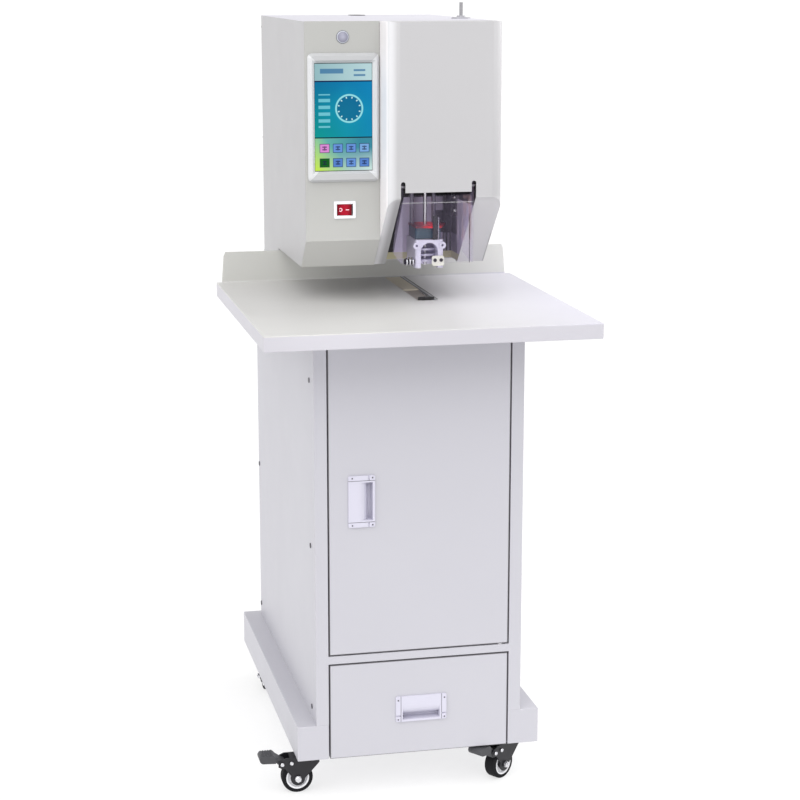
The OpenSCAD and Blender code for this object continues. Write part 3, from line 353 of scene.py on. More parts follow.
def frame_at(centre, axis, turn=0.0):
    """Matrix that puts local Z on the axis, at the centre."""
    track = Vector(axis).to_track_quat("Z", "Y").to_matrix().to_4x4()
    return Matrix.Translation(centre) @ track @ Matrix.Rotation(turn, 4, "Z")


def oval(wide, deep, sides):
    """Points of an oval from its two radii."""
    return [(wide * math.cos(math.tau * i / sides), deep * math.sin(math.tau * i / sides))
            for i in range(sides)]


def ring_of(mesh, points, height, place):
    """Vertices on points in millimetres, at one height of a place."""
    return [mesh.verts.new(place @ Vector((x * MM, y * MM, height * MM))) for x, y in points]


def join(mesh, rings):
    """Faces from ring to ring. A ring of one vertex is a tip."""
    for low, high in zip(rings, rings[1:]):
        sides = max(len(low), len(high))
        for i in range(sides):
            j = (i + 1) % sides
            corners = list(dict.fromkeys((low[i % len(low)], low[j % len(low)],
                                          high[j % len(high)], high[i % len(high)])))
            if len(corners) > 2:
                mesh.faces.new(corners)


def lathe(mesh, profile, centre, axis, sides=32, turn=0.0):
    """Turned form: profile is radius and height pairs in millimetres along the axis."""
    place = frame_at(centre, axis, turn)
    join(mesh, [ring_of(mesh, oval(wide, wide, sides) if wide else [(0, 0)], height, place)
                for wide, height in profile])


def prism(mesh, outline, place, height):
    """Straight piece on an outline in the place's own X and Y, in millimetres."""
    rings = [ring_of(mesh, outline, level, place) for level in (0.0, height)]
    mesh.faces.new(rings[0][::-1])
    mesh.faces.new(rings[1])
    join(mesh, rings)


def islands(name):
    """Low and high corner of each loose part of a CAD node."""
    mesh = bmesh.new()
    mesh.from_mesh(NODES[name].data)
    bmesh.ops.remove_doubles(mesh, verts=mesh.verts, dist=WELD)
    seen, found = set(), []
    for start in mesh.verts:
        if start in seen:
            continue
        seen.add(start)
        group = [start]
        for vert in group:
            fresh = [edge.other_vert(vert) for edge in vert.link_edges
                     if edge.other_vert(vert) not in seen]
            seen.update(fresh)
            group += fresh
        found.append([Vector([pick(vert.co[i] for vert in group) for i in range(3)])
                      for pick in (min, max)])
    mesh.free()
    return found


# Settings

class DRILL_PG_colours(bpy.types.PropertyGroup):
    cabinet: colour("Cabinet", "Paint of the cabinet, base, door and drawer", 190, 189, 196)
    table: colour("Worktop", "Paint of the worktop", 203, 202, 200)
    head: colour("Head", "Paint of the head and the tool block", 186, 185, 187)
    panel: colour("Control panel", "Paint of the control panel", 176, 176, 173)
    inside: colour("Inside", "Paint behind the tool window", 182, 172, 198)
    alloy: colour("Cast alloy", "Press foot and carriage", 214, 210, 230)
    block: colour("Press block", "Paint of the press block", 44, 70, 84)
    plate: colour("Press plate", "Paint of the press plate", 214, 16, 30)
    pulls: colour("Pulls", "Plastic of the door and drawer pulls", 204, 202, 216)
    bezel: colour("Bezel", "Plastic round the display", 209, 210, 212)
    rocker: colour("Rocker", "Plastic of the power switch", 160, 0, 34)
    guard: colour("Guard", "Tint of the clear guard", 188, 172, 216)
    wheel: colour("Tyre", "Rubber of the wheels", 18, 18, 21)


class DRILL_PG_sizes(bpy.types.PropertyGroup):
    fold: length("Fold round", "Round of the folded sheet edges", 0.8)
    table_fold: length("Table fold", "Round of the worktop's folded edges", 1.7)
    edge: length("Cut round", "Round of machined and moulded edges", 0.35)
    nut: length("Axle nut", "Width across the flats of the axle nuts", 9.0)
    recess: length("Screw recess", "Reach of the cross recess in the screws", 1.9)
    # Width of the band of painted shade that stands for the gap round the door and the drawer.
    gap_shade: length("Gap shade", "Width of the dark seal along the door and drawer", 1.1)
    # Width of the painted shadow line along the slot's right side.
    line: length("Slot line", "Width of the dark line right of the slot", 1.5)


class DRILL_PG_studio(bpy.types.PropertyGroup):
    sky: amount("Room light", "Strength of the even white light", 0.60)
    top: amount("Overhead", "Strength of the overhead light", 1.33)
    key: amount("Key", "Strength of the light from the front left", 0.88)
    fill: amount("Fill", "Strength of the low light from the front", 0.62)
    side: amount("Side", "Strength of the lamp on the right", 20.0, 500.0)
    low: amount("Low", "Strength of the narrow lamp that reaches under the head", 0.017, 5.0)
    work: amount("Work lamp", "Strength of the small lamp inside the tool window", 0.042, 5.0)
    lens: bpy.props.FloatProperty(name="Lens", description="Focal length of the camera",
                                  default=89.1, min=20.0, max=300.0, unit="CAMERA")


class PartOperator:
    """Shared form of the operators that dress the machine."""
    bl_options = {"REGISTER", "UNDO"}

    def execute(self, context):
        self.make(context.scene.drill_colours, context.scene.drill_sizes)
        return {"FINISHED"}


# Cabinet

class DRILL_OT_cabinet(PartOperator, bpy.types.Operator):
    """Paint the base, the cabinet, the door and the drawer front"""
    bl_idname = "drill.cabinet"
    bl_label = "Cabinet"

    def make(self, colours, sizes):
        shell = ("base_frame", "left_side_panel", "right_side_panel", "front_frame",
                 "back_panel", "cabinet_shelf")
        fronts = ("door", "drawer_front")
        give(powder_coat("cabinet_paint", colours.cabinet), *shell)
        for name in fronts:
            give(self.gap_shaded(name, colours.cabinet, sizes.gap_shade / MM), name)
        soften(sizes.fold, *shell, *fronts)

    def gap_shaded(self, name, base, width):
        """The cabinet's paint with a band of painted shade round a front's outer skin, where the
        gap to the frame is.
        """
        low, high = box_of(name)
        skin = 3.0
        finish = powder_coat(name + "_paint", base)
        x, y, z = finish.axes()
        rim = inset(x, low.x, high.x).maths("MINIMUM", inset(z, low.z, high.z))
        # Painted shade of the gap round the front, laid on the rim of its outer skin.
        gap_shade = rim.below(width, width * 0.5) * y.below(low.y + skin, 0.5)
        finish.tint(gap_shade * 0.8, tone(60, 56, 58))
        return finish


class DRILL_OT_worktop(PartOperator, bpy.types.Operator):
    """Paint the worktop, with a painted cool highlight towards its right, painted shade on the
    apron and a back edge painted lighter towards the right
    """
    bl_idname = "drill.worktop"
    bl_label = "Worktop"

    def make(self, colours, sizes):
        apron, back_edge, start, run = 768.4, 772.0, -20.0, 260.0
        finish = powder_coat("table_paint", colours.table, rough=0.38)
        x, _, z = finish.axes()
        # Painted highlight: the worktop grows paler and cooler towards its right.
        right = ((x - start) / run).clip()
        finish.tint(right * 0.8, tone(202, 200, 212))
        # Painted shade on the front apron.
        finish.tint(z.below(apron, 0.6), tone(195, 193, 200))
        # The back edge has its own tone and is painted lighter towards the right.
        finish.tint(z.above(back_edge, 1.0),
                    finish.mix(right, tone(195, 195, 191), tone(218, 218, 216)))
        give(finish, "worktop")
        soften(sizes.table_fold, "worktop")


class DRILL_OT_head(PartOperator, bpy.types.Operator):
    """Paint the head, the tool block and the control panel and add the grommet"""
    bl_idname = "drill.head"
    bl_label = "Head"

    def make(self, colours, sizes):
        give(powder_coat("head_paint", colours.head), "head_base_plate", "rear_cover")
        give(self.block_paint(colours.head), "block_cover")
        # The casing takes a darker copy of the head's paint: painted shade on its sides.
        give(self.casing_paint(shade(colours.head, 0.93)), "head_casing")
        give(self.panel_paint(colours.panel), "control_panel")
        soften(sizes.fold, "head_base_plate", "head_casing", "rear_cover", "block_cover",
               "control_panel")
        wide, deep, thick, centre = 14.5, 26.5, 0.7, at(10.5, 533.5, 1209.95)
        mesh = bmesh.new()
        prism(mesh, oval(wide, deep, 48), Matrix.Translation(centre), thick)
        piece_of("top_grommet", mesh, moulded("grommet_rubber", tone(30, 29, 34), rough=0.5),
                 "stand")

    def panel_paint(self, base):
        """The panel's paint, with painted light on its slanted foot."""
        foot = 872.5
        finish = powder_coat("panel_paint", base)
        # Painted light on the downward-facing slanted foot.
        finish.tint(finish.axes()[2].below(foot, 1.0), shade(base, 1.14))
        return finish

    def casing_paint(self, base):
        """The head's paint, with painted light on the top sheet."""
        top = box_of("head_casing")[1].z - 0.4
        finish = powder_coat("casing_paint", base)
        # Painted light on the top sheet.
        finish.tint(finish.axes()[2].above(top, 0.4) * 0.8, tone(206, 204, 214))
        return finish

    def block_paint(self, base):
        """The head's paint with painted light and shade: darker on the left cheek, lighter on
        the right cheek, with painted highlights along the block's left fold.
        """
        left, slant = box_of("block_cover")[0].x, 940.0
        start, run = -12.0, 118.0
        finish = powder_coat("block_paint", base)
        x, _, z = finish.axes()
        # Painted shade on the left cheek and painted light on the right cheek, across the slant.
        cheek = finish.mix(((x - start) / run).clip(), shade(base, 0.70), shade(base, 1.22))
        finish.tint(z.below(slant, 10.0) * 0.9, cheek)
        # Painted highlight along the block's left fold, and a brighter painted highlight on the
        # fold's edge.
        finish.tint(x.below(left + 9.0, 10.0) * 0.75, tone(226, 226, 229))
        finish.tint(x.below(left + 1.2, 0.5), tone(243, 240, 242))
        return finish


class DRILL_OT_inside(PartOperator, bpy.types.Operator):
    """Finish what the head and the cabinet hold inside"""
    bl_idname = "drill.inside"
    bl_label = "Inside"

    def make(self, colours, sizes):
        give(powder_coat("dark_paint", tone(34, 32, 38), 0.35), "tool_frame", "lift_motor",
             "drill_motor")
        give(self.liner_paint(colours.inside), "window_liner")
        give(zinc_plate("zinc_steel", tone(196, 198, 204)), "drawer_runners", "slide_guide",
             "head_pillar", "drawer_box", "drawer_slides")
        give(bare_metal("bright_steel", tone(206, 204, 208), stretch=(1.0, 1.0, 0.08)),
             "caster_plates", "hinge_pins", "lower_die", "guide_posts",
             "drill_spindle", "lift_screw")
        give(bare_metal("dull_steel", tone(138, 136, 140), rough=0.36), "guard_rod")
        give(bare_metal("rod_steel", tone(172, 171, 174), rough=0.30), "feed_rod")
        # The press rods take a darkened copy of the liner's paint: painted shade of the window's
        # inside.
        give(moulded("shaded_rod_paint", shade(colours.inside, 0.26), rough=0.42), "press_rods")
        give(bare_metal("flange_steel", tone(200, 199, 204), rough=0.34), "feed_flange")
        give(bare_metal("screw_steel", tone(104, 102, 108), rough=0.30), "panel_screws")
        give(moulded("black_plastic", tone(24, 23, 26), rough=0.36), "power_inlet",
             "slide_handle")
        soften(sizes.edge, "window_liner", "tool_frame", "power_inlet", "slide_handle",
               "drawer_box")

    def liner_paint(self, base):
        """Painted shadow along the top and painted shade at the left end, dark round the bracket
        and in a band past the post, with a pale lower lip that is a painted reflection.
        """
        roof, slats, lip, wall, foot = 927.0, 868.0, 838.0, 198.0, 835.0
        lean, bracket, post, middle = 0.185, 92.0, 74.0, 887.0
        finish = powder_coat("liner_paint", base, rough=0.45)
        x, y, z = finish.axes()
        back = y.above(wall, 2.0)
        left = (x - (z - foot) * lean).below(10.0, 0.8)
        slat = (x * 0.16).turn().below(0.55, 0.15) * z.below(slats, 3.0)
        right = x.above(bracket, 3.0) * back * (1 - slat * 0.35)
        band = x.above(post, 1.0) * z.near(middle, 18.0, 1.0) * back
        # Painted shadow along the top and painted shade at the left end, with the dark round the
        # bracket and in the band.
        dark = (z.above(roof, 1.0) + left + right + band * 0.9).clip()
        finish.tint(dark, tone(18, 12, 20))
        # Painted reflection: the pale lower lip.
        finish.tint(z.below(lip, 0.5), tone(176, 170, 138))
        return finish


class DRILL_OT_tools(PartOperator, bpy.types.Operator):
    """Finish the press foot, its block and plate, and the bar in the slot"""
    bl_idname = "drill.tools"
    bl_label = "Tools"

    def make(self, colours, sizes):
        give(sand_cast("cast_alloy", colours.alloy), "press_foot", "drill_carriage")
        give(self.block_paint(colours.block), "press_block")
        give(self.red_with_painted_glow(colours.plate), "press_plate")
        give(bare_metal("slide_steel", tone(178, 170, 166), rough=0.46,
                        stretch=(1.0, 0.06, 1.0), grain=520.0, lustre=0.4), "slide_bar")
        give(bare_metal("slot_plate", tone(222, 214, 198), rough=0.52,
                        stretch=(1.0, 0.10, 1.0), grain=420.0, lustre=0.4), "slot_cover")
        soften(sizes.edge, "press_foot", "press_block", "press_plate", "slide_bar",
               "slot_cover")
        self.heads()
        self.boss()
        self.knob()
        self.column()
        self.slot_lines(sizes.line / MM)

    def red_with_painted_glow(self, base):
        """Red paint with a painted glow in its middle, made by emission, and painted shade
        towards its ends.
        """
        middle, reach = 57.0, 22.0
        finish = powder_coat("red_paint", base, rough=0.30)
        edge = 1 - (1 - abs(finish.axes()[0] - middle) / reach).clip()
        spots = finish.noise(150.0, 2.0, 0.6).below(0.50, 0.10) * edge
        # Painted shade towards the plate's ends.
        finish.tint(edge, shade(base, 0.24))
        finish.tint(spots * 0.7, tone(70, 30, 48))
        # Painted glow: the plate's middle emits light, though it is no lamp.
        finish.set(Emission_Strength=0.30,
                   Emission_Color=finish.mix(edge, base, tone(0, 0, 0)))
        return finish

    def block_paint(self, base):
        """The block's paint with a painted shadow line along its foot, where the gap over the
        foot is.
        """
        gap_shadow_top = box_of("press_block")[0].z + 1.3
        finish = powder_coat("teal_paint", base, rough=0.30)
        # Painted shadow of the gap between the block and the foot.
        finish.tint(finish.axes()[2].below(gap_shadow_top, 0.2), tone(16, 14, 18))
        return finish

    def heads(self):
        """Two bright screw heads on the bracket beside the window."""
        head = [(0, 0), (2.5, 0), (2.5, 0.8), (2.0, 1.5), (1.1, 1.7), (1.0, 0.9), (0, 0.8)]
        mesh = bmesh.new()
        for height in (908.0, 929.0):
            lathe(mesh, head, at(103.5, 200.4, height), (0, -1, 0), 28)
        steel = bare_metal("fitting_steel", tone(214, 212, 216), rough=0.24, grain=600.0)
        piece_of("bracket_screw_heads", mesh, steel, "stand")

    def boss(self):
        """Small plate with two round heads low on the foot's right leg."""
        plate, heads = bmesh.new(), bmesh.new()
        half, rise, cut, thick = 9.8, 8.0, 2.0, 3.0
        outline = [(-half + cut, -rise), (half - cut, -rise), (half, -rise + cut),
                   (half, rise - cut), (half - cut, rise), (-half + cut, rise),
                   (-half, rise - cut), (-half, -rise + cut)]
        prism(plate, outline, frame_at(at(63.5, 151.05, 834.5), (0, -1, 0)), thick)
        piece_of("foot_boss", plate, sand_cast("boss_alloy", tone(230, 228, 220)),
                 "press")
        head = [(0, 0), (2.9, 0), (2.9, 0.7), (2.2, 0.9), (2.0, 0.3), (1.0, 0.3), (0.8, 1.0),
                (0, 1.1)]
        for x in (58.5, 68.5):
            lathe(heads, head, at(x, 148.05, 835.5), (0, -1, 0), 28)
        piece_of("foot_boss_heads", heads, moulded("head_black", tone(34, 33, 36), rough=0.3),
                 "press")

    def knob(self):
        """Knurled setting screw on the foot's left side, with painted shade in its grooves."""
        root, pitch, end = 27.0, 5.0, 17.0
        profile = [(0, 0), (2.4, 0), (2.4, 2.0)]
        for i in range(3):
            low = 2.0 + pitch * i
            profile += [(6.6, low), (7.2, low + 0.6), (7.2, low + 2.2), (4.2, low + 2.8),
                        (4.2, low + 4.6)]
        profile += [(3.6, end), (0, end)]
        mesh = bmesh.new()
        lathe(mesh, profile, at(root, 158.0, 833.0), (-1, 0, 0), 36)
        finish = bare_metal("knurl_steel", tone(226, 226, 230), rough=0.25)
        # Painted shade in the grooves of the knurl.
        groove_shade = ((root - finish.axes()[0]) / pitch - 0.4).turn().above(0.52, 0.05)
        finish.tint(groove_shade, tone(12, 11, 14))
        piece_of("foot_knob", mesh, finish, "press")

    def column(self):
        """Guide post on the foot's top, before the block: a dark upright for its painted shaded
        side, with a thin bright rod for its painted highlight.
        """
        left, right, near, far, cut = 55.4, 63.0, 149.6, 152.6, 0.8
        foot, rise, tip = 868.0, 38.5, 36.0
        mesh, rod = bmesh.new(), bmesh.new()
        prism(mesh, [(left + cut, near), (right - cut, near), (right, near + cut),
                     (right, far), (left, far), (left, near + cut)],
              Matrix.Translation(at(0, 0, foot)), rise)
        # Dark upright: painted shade of the guide post's side.
        piece_of("guide_column", mesh, moulded("guide_shade_black", tone(20, 18, 24), rough=0.4),
                 "press")
        lathe(rod, [(0, 0), (1.0, 0), (1.4, 0.4), (1.4, tip - 0.4), (1.0, tip), (0, tip)],
              at(64.6, 151.2, foot), (0, 0, 1), 20)
        # Thin bright rod: painted highlight of the guide post.
        piece_of("guide_column_rod", rod, bare_metal("guide_highlight_steel", tone(150, 146, 160)),
                 "press")

    def slot_lines(self, width):
        """Painted shadow lines of the slot in the table: along its right side, at its end and at
        its stop.
        """
        low, thick = 769.98, 0.12
        mesh = bmesh.new()
        for left, near, right, far in (
                (66.2, 166.0, 66.2 + width, 420.0), (60.3, 166.0, 61.4, 420.0),
                (30.0, 419.5, 63.5, 422.5), (65.5, 418.5, 69.5, 424.0)):
            prism(mesh, [(left, near), (right, near), (right, far), (left, far)],
                  Matrix.Translation(at(0, 0, low)), thick)
        # Thin dark prisms on the worktop: painted shadow of the slot.
        piece_of("slot_lines", mesh, moulded("slot_shadow", tone(24, 22, 22), rough=0.5),
                 "stand", smooth=False)


# Screen

class DRILL_OT_screen(PartOperator, bpy.types.Operator):
    """Finish the bezel and draw the lit display with its plain generic layout"""
    bl_idname = "drill.screen"
    bl_label = "Screen"

    def make(self, colours, sizes):
        give(self.frame_plastic(colours.bezel), "screen_bezel")
        soften(sizes.edge, "screen_bezel")
        low, high = box_of("touch_screen")
        rim = 1.7
        glass = Finish("screen_glass", Base_Color=tone(10, 12, 16),
                       Specular_IOR_Level=0.04, Emission_Strength=0.96)
        x, y, z = glass.axes()
        u = (x - (low.x + rim)) / (high.x - low.x - 2 * rim)
        v = (high.z - rim - z) / (high.z - low.z - 2 * rim)
        picture = self.backdrop(glass, u, v)
        picture = self.gauge(glass, u, v, picture)
        picture = self.buttons(glass, u, v, picture)
        picture = self.header(glass, u, v, picture)
        lit = (u.near(0.5, 0.494, 0.004) * v.near(0.5, 0.494, 0.003)
               * y.below(low.y + 0.4, 0.2))
        glass.set(Emission_Color=glass.mix(lit, tone(0, 0, 0), picture),
                  Roughness=glass.noise(30.0, 3.0, 0.6) * 0.08 + 0.08)
        give(glass, "touch_screen")

    def frame_plastic(self, base):
        """Bezel plastic with painted shade on its top and bottom sides and painted shade lines
        along its mitres.
        """
        low, high = box_of("screen_bezel")
        finish = moulded("bezel_plastic", base, rough=0.30)
        x, _, z = finish.axes()
        slope = inset(z, low.z, high.z) - inset(x, low.x, high.x)
        # Painted shade on the top and bottom sides of the bezel.
        finish.tint(slope.below(0.0, 0.4) * 0.8, shade(base, 0.68))
        # Painted shade lines along the mitres, where the sides meet.
        finish.tint(abs(slope).below(0.35, 0.4) * 0.5, shade(base, 0.62))
        return finish

    def backdrop(self, glass, u, v):
        """Blue upper field and pale green lower field, with the line between them."""
        split = 0.688
        top = glass.mix(u.clip(), tone(0, 104, 160), tone(0, 130, 186))
        low = glass.mix(u.clip(), tone(0, 158, 142), tone(10, 140, 180))
        upper = glass.mix((v * 1.5 - 0.15).clip(), top, low)
        glow = (1 - (abs(u - 0.55) * 1.6 + abs(v - 0.44) * 3.4)).clip()
        upper = glass.mix(glow * 0.30, upper, tone(20, 176, 206))
        warm = (1 - (u * 1.5 + (1 - v) * 2.4)).clip()
        field = glass.mix((u * 1.3).clip(), tone(112, 192, 176), tone(60, 140, 160))
        field = glass.mix((u * (v - 0.78) * 5.0).clip(), field, tone(206, 232, 226))
        field = glass.mix(warm, field, tone(206, 240, 60))
        picture = glass.mix(v.above(split, 0.004), upper, field)
        return glass.mix(v.near(split, 0.005, 0.003), picture, tone(6, 16, 30))

    def gauge(self, glass, u, v, picture):
        """Round dial with twelve ticks and a column of bars beside it."""
        across, down = (u - 0.60) * 0.55, v - 0.42
        away = radius(across, down)
        face, rim, scale = 0.118, 0.125, 0.103
        ticks = ((down.maths("ARCTAN2", across) * (12 / math.tau)).turn()
                 .near(0.5, 0.10, 0.05) * away.near(scale, 0.008, 0.004))
        picture = glass.mix(away.below(face, 0.004) * 0.55, picture, tone(4, 70, 120))
        picture = glass.mix(away.near(rim, 0.008, 0.004), picture, tone(150, 226, 232))
        picture = glass.mix(ticks, picture, tone(200, 240, 240))
        bars = (u.near(0.17, 0.10, 0.008) * (v * 16.0).turn().near(0.5, 0.24, 0.08)
                * v.near(0.44, 0.155, 0.003))
        return glass.mix(bars * 0.85, picture, tone(120, 206, 220))

    def buttons(self, glass, u, v, picture):
        """Two rows of four framed buttons, each with a plain mark."""
        left, top, wide, tall = 0.055, 0.7185, 0.23, 0.135
        column, row = (u - left) / wide, (v - top) / tall
        across, down = abs(column.turn() - 0.5) * wide, abs(row.turn() - 0.5) * tall
        inside = u.near(0.515, 0.45, 0.004) * v.near(0.853, 0.13, 0.003)
        key = across.below(0.086, 0.008) * down.below(0.042, 0.005) * inside
        face = across.below(0.078, 0.008) * down.below(0.037, 0.005) * inside
        place = (column.maths("FLOOR") + row.maths("FLOOR") * 4.0) / 8.0 + 0.03
        blue, deep = tone(104, 150, 222), tone(88, 132, 208)
        shades = glass.node("ShaderNodeValToRGB", None, {0: place})
        ramp = shades.color_ramp
        ramp.interpolation = "CONSTANT"
        for i, tint in enumerate((tone(222, 142, 216), blue, blue, tone(124, 172, 226),
                                  tone(6, 96, 14), deep, blue, deep)):
            stop = ramp.elements[0] if i == 0 else ramp.elements.new(i / 8)
            stop.color = tint
        ramp.elements.remove(ramp.elements[-1])
        picture = glass.mix(key, picture, tone(30, 40, 70))
        picture = glass.mix(face, picture, shades.outputs[0])
        mark = ((across.below(0.040, 0.006) * down.near(0.012, 0.006, 0.004)
                 + across.below(0.012, 0.005) * down.below(0.020, 0.004)) * inside).clip()
        return glass.mix(mark * 0.75, picture, tone(24, 26, 60))

    def header(self, glass, u, v, picture):
        """Pale band on top with plain bars in it."""
        band = glass.mix((u * 1.1).clip(), tone(148, 188, 194), tone(186, 216, 220))
        picture = glass.mix(v.below(0.162, 0.003), picture, band)
        picture = glass.mix(v.near(0.168, 0.006, 0.003), picture, tone(10, 28, 70))
        bars = (u.near(0.30, 0.20, 0.01) * v.near(0.075, 0.022, 0.006)
                + u.near(0.78, 0.10, 0.01) * (v * 22.0).turn().near(0.5, 0.20, 0.10)
                * v.near(0.09, 0.045, 0.003)).clip()
        return glass.mix(bars * 0.8, picture, tone(40, 110, 160))


class DRILL_OT_lamp(PartOperator, bpy.types.Operator):
    """Finish the round lamp with its dark ring"""
    bl_idname = "drill.lamp"
    bl_label = "Lamp"

    def make(self, colours, sizes):
        low, high = box_of("sensor_lens")
        centre = (low + high) / 2
        lens = Finish("lens_plastic", Roughness=0.16, Specular_IOR_Level=0.55)
        x, _, z = lens.axes()
        away = radius(x - centre.x, z - centre.z) / (centre.x - low.x)
        dome = lens.mix((away * 1.1).clip(), tone(166, 166, 182), tone(124, 123, 140))
        dome = lens.mix(lens.noise(260.0) * 0.12, dome, tone(150, 150, 172))
        rim = lens.mix(away.below(0.93, 0.02), tone(84, 86, 98), tone(186, 190, 200))
        lens.set(Base_Color=lens.mix(away.below(0.80, 0.04), rim, dome),
                 Normal=lens.bump(away.near(0.82, 0.03, 0.03), 0.5, -0.0004))
        give(lens, "sensor_lens")


class DRILL_OT_switch(PartOperator, bpy.types.Operator):
    """Finish the rocker and its frame and add the on and off marks"""
    bl_idname = "drill.switch"
    bl_label = "Power switch"

    def make(self, colours, sizes):
        white = moulded("white_plastic", tone(236, 236, 240), rough=0.16, coat=0.6)
        give(white, "rocker_frame")
        low, high = box_of("rocker")
        base = colours.rocker
        red = Finish("red_plastic", Specular_IOR_Level=0.16)
        middle = inset(red.axes()[0], low.x, high.x) / ((high.x - low.x) / 2)
        # Painted shade: the rocker darkens towards its left and right ends.
        shell = red.mix((middle * 1.5).clip(), shade(base, 0.30), shade(base, 1.05))
        red.set(Base_Color=red.mix(red.noise(120.0) * 0.10, shell, shade(base, 0.7)),
                Roughness=red.noise(80.0) * 0.06 + 0.20)
        give(red, "rocker")
        soften(sizes.edge, "rocker_frame", "rocker")
        self.marks()

    def marks(self):
        """Off ring and on dash, thin on the rocker's two faces."""
        sunk, proud = -0.05, 0.07
        ink = moulded("mark_ink", tone(252, 214, 224), rough=0.45)
        ring, dash = bmesh.new(), bmesh.new()
        spot, out = self.hit(-0.50)
        lathe(ring, [(1.7, sunk), (2.9, sunk), (2.9, proud), (1.7, proud), (1.7, sunk)],
              spot, out, 40)
        piece_of("rocker_off_mark", ring, ink, "rocker")
        spot, out = self.hit(0.42)
        prism(dash, [(-2.6, -0.6), (2.6, -0.6), (2.6, 0.6), (-2.6, 0.6)],
              frame_at(spot + out * sunk * MM, out), proud - sunk)
        piece_of("rocker_on_mark", dash, ink, "rocker", smooth=False)

    def hit(self, share):
        """Point and normal of the rocker's face at a share of its half width."""
        low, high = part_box("rocker")
        centre = (low + high) / 2
        start = Vector((centre.x + (high.x - low.x) / 2 * share, low.y - 0.02, centre.z))
        found, spot, normal, _ = NODES["rocker"].ray_cast(start, Vector((0, 1, 0)))
        if not found:
            raise RuntimeError("the rocker has no face where its mark goes")
        return spot, normal


class DRILL_OT_guard(PartOperator, bpy.types.Operator):
    """Finish the clear guard: see-through from the front, denser at its cut edges"""
    bl_idname = "drill.guard"
    bl_label = "Guard"

    def make(self, colours, sizes):
        low, high = box_of("guard")
        clear = Finish("clear_acrylic", Specular_IOR_Level=0.6, IOR=1.49)
        x, y, z = clear.axes()
        facing = clear.add("ShaderNodeLayerWeight", None, {"Blend": 0.35}, output=1)
        streak = clear.noise(60.0, 3.0, 0.6, (1.0, 1.0, 0.12))
        reflection_streak = clear.noise(210.0, 2.0, 0.6, (1.0, 1.0, 0.05))
        sheet = y.below(low.y + 4.0, 0.5)
        # Painted highlight along the bend of the guard's sheet.
        bend_highlight = z.near(934.8, 0.7, 0.5) * y.below(low.y + 3.0, 0.5)
        # Painted reflection: brownish streaks on the right of the front sheet.
        painted_reflection = (x.above(high.x - 24.0, 10.0) * sheet * reflection_streak.above(0.52, 0.05)
                 * z.above(874.0, 12.0))
        # Painted shade: a dark line where the sheet folds back on its right.
        fold = x.near(98.4, 0.55, 0.4) * sheet * z.below(916.0, 4.0)
        clear.set(Base_Color=clear.mix(streak, colours.guard, tone(216, 206, 236)),
                  Roughness=streak * 0.08 + 0.03,
                  Alpha=(facing * 0.26 + streak * 0.04 + bend_highlight * 0.22 + painted_reflection * 0.22
                         + fold * 0.7).clip(),
                  Normal=clear.bump(clear.noise(24.0), 0.04, 0.002))
        clear.tint(painted_reflection, tone(164, 132, 138))
        clear.tint(bend_highlight, tone(250, 250, 252))
        clear.tint(fold, tone(40, 36, 42))
        give(clear, "guard")


class DRILL_OT_pulls(PartOperator, bpy.types.Operator):
    """Finish the moulded pulls of the door and the drawer"""
    bl_idname = "drill.pulls"
    bl_label = "Pulls"

    def make(self, colours, sizes):
        for name, axis in (("door_pull", 2), ("drawer_pull", 0)):
            give(self.capped(name, axis, colours.pulls), name)
        soften(sizes.edge, "door_pull", "drawer_pull")

    def capped(self, name, axis, base):
        """Pull plastic with painted shade in the joints of its end caps and in its screw holes.
        """
        cap, hole_along, hole_across = 33.0, 37.5, 16.0
        low, high = box_of(name)
        centre = (low + high) / 2
        finish = moulded(name + "_plastic", base, rough=0.32)
        place = finish.axes()
        along = abs(place[axis] - centre[axis])
        across = abs(place[2 - axis] - centre[2 - axis] + (1.0 - axis))
        hole = radius(along - hole_along, across - hole_across).below(1.2, 0.5)
        # Painted shade in the cap joints and the screw holes, on the front face only.
        dark = (along.near(cap, 0.45, 0.3) * 0.7 + hole) * place[1].below(low.y + 2.6, 0.4)
        finish.tint(dark.clip(), tone(52, 50, 58))
        return finish


# Casters

def axle_of(corner):
    """Middle of a wheel and the direction of its axle."""
    roll = JOINTS["roll_" + corner]
    return Vector(roll["pos_m"]), Vector(roll["axis"]).normalized()


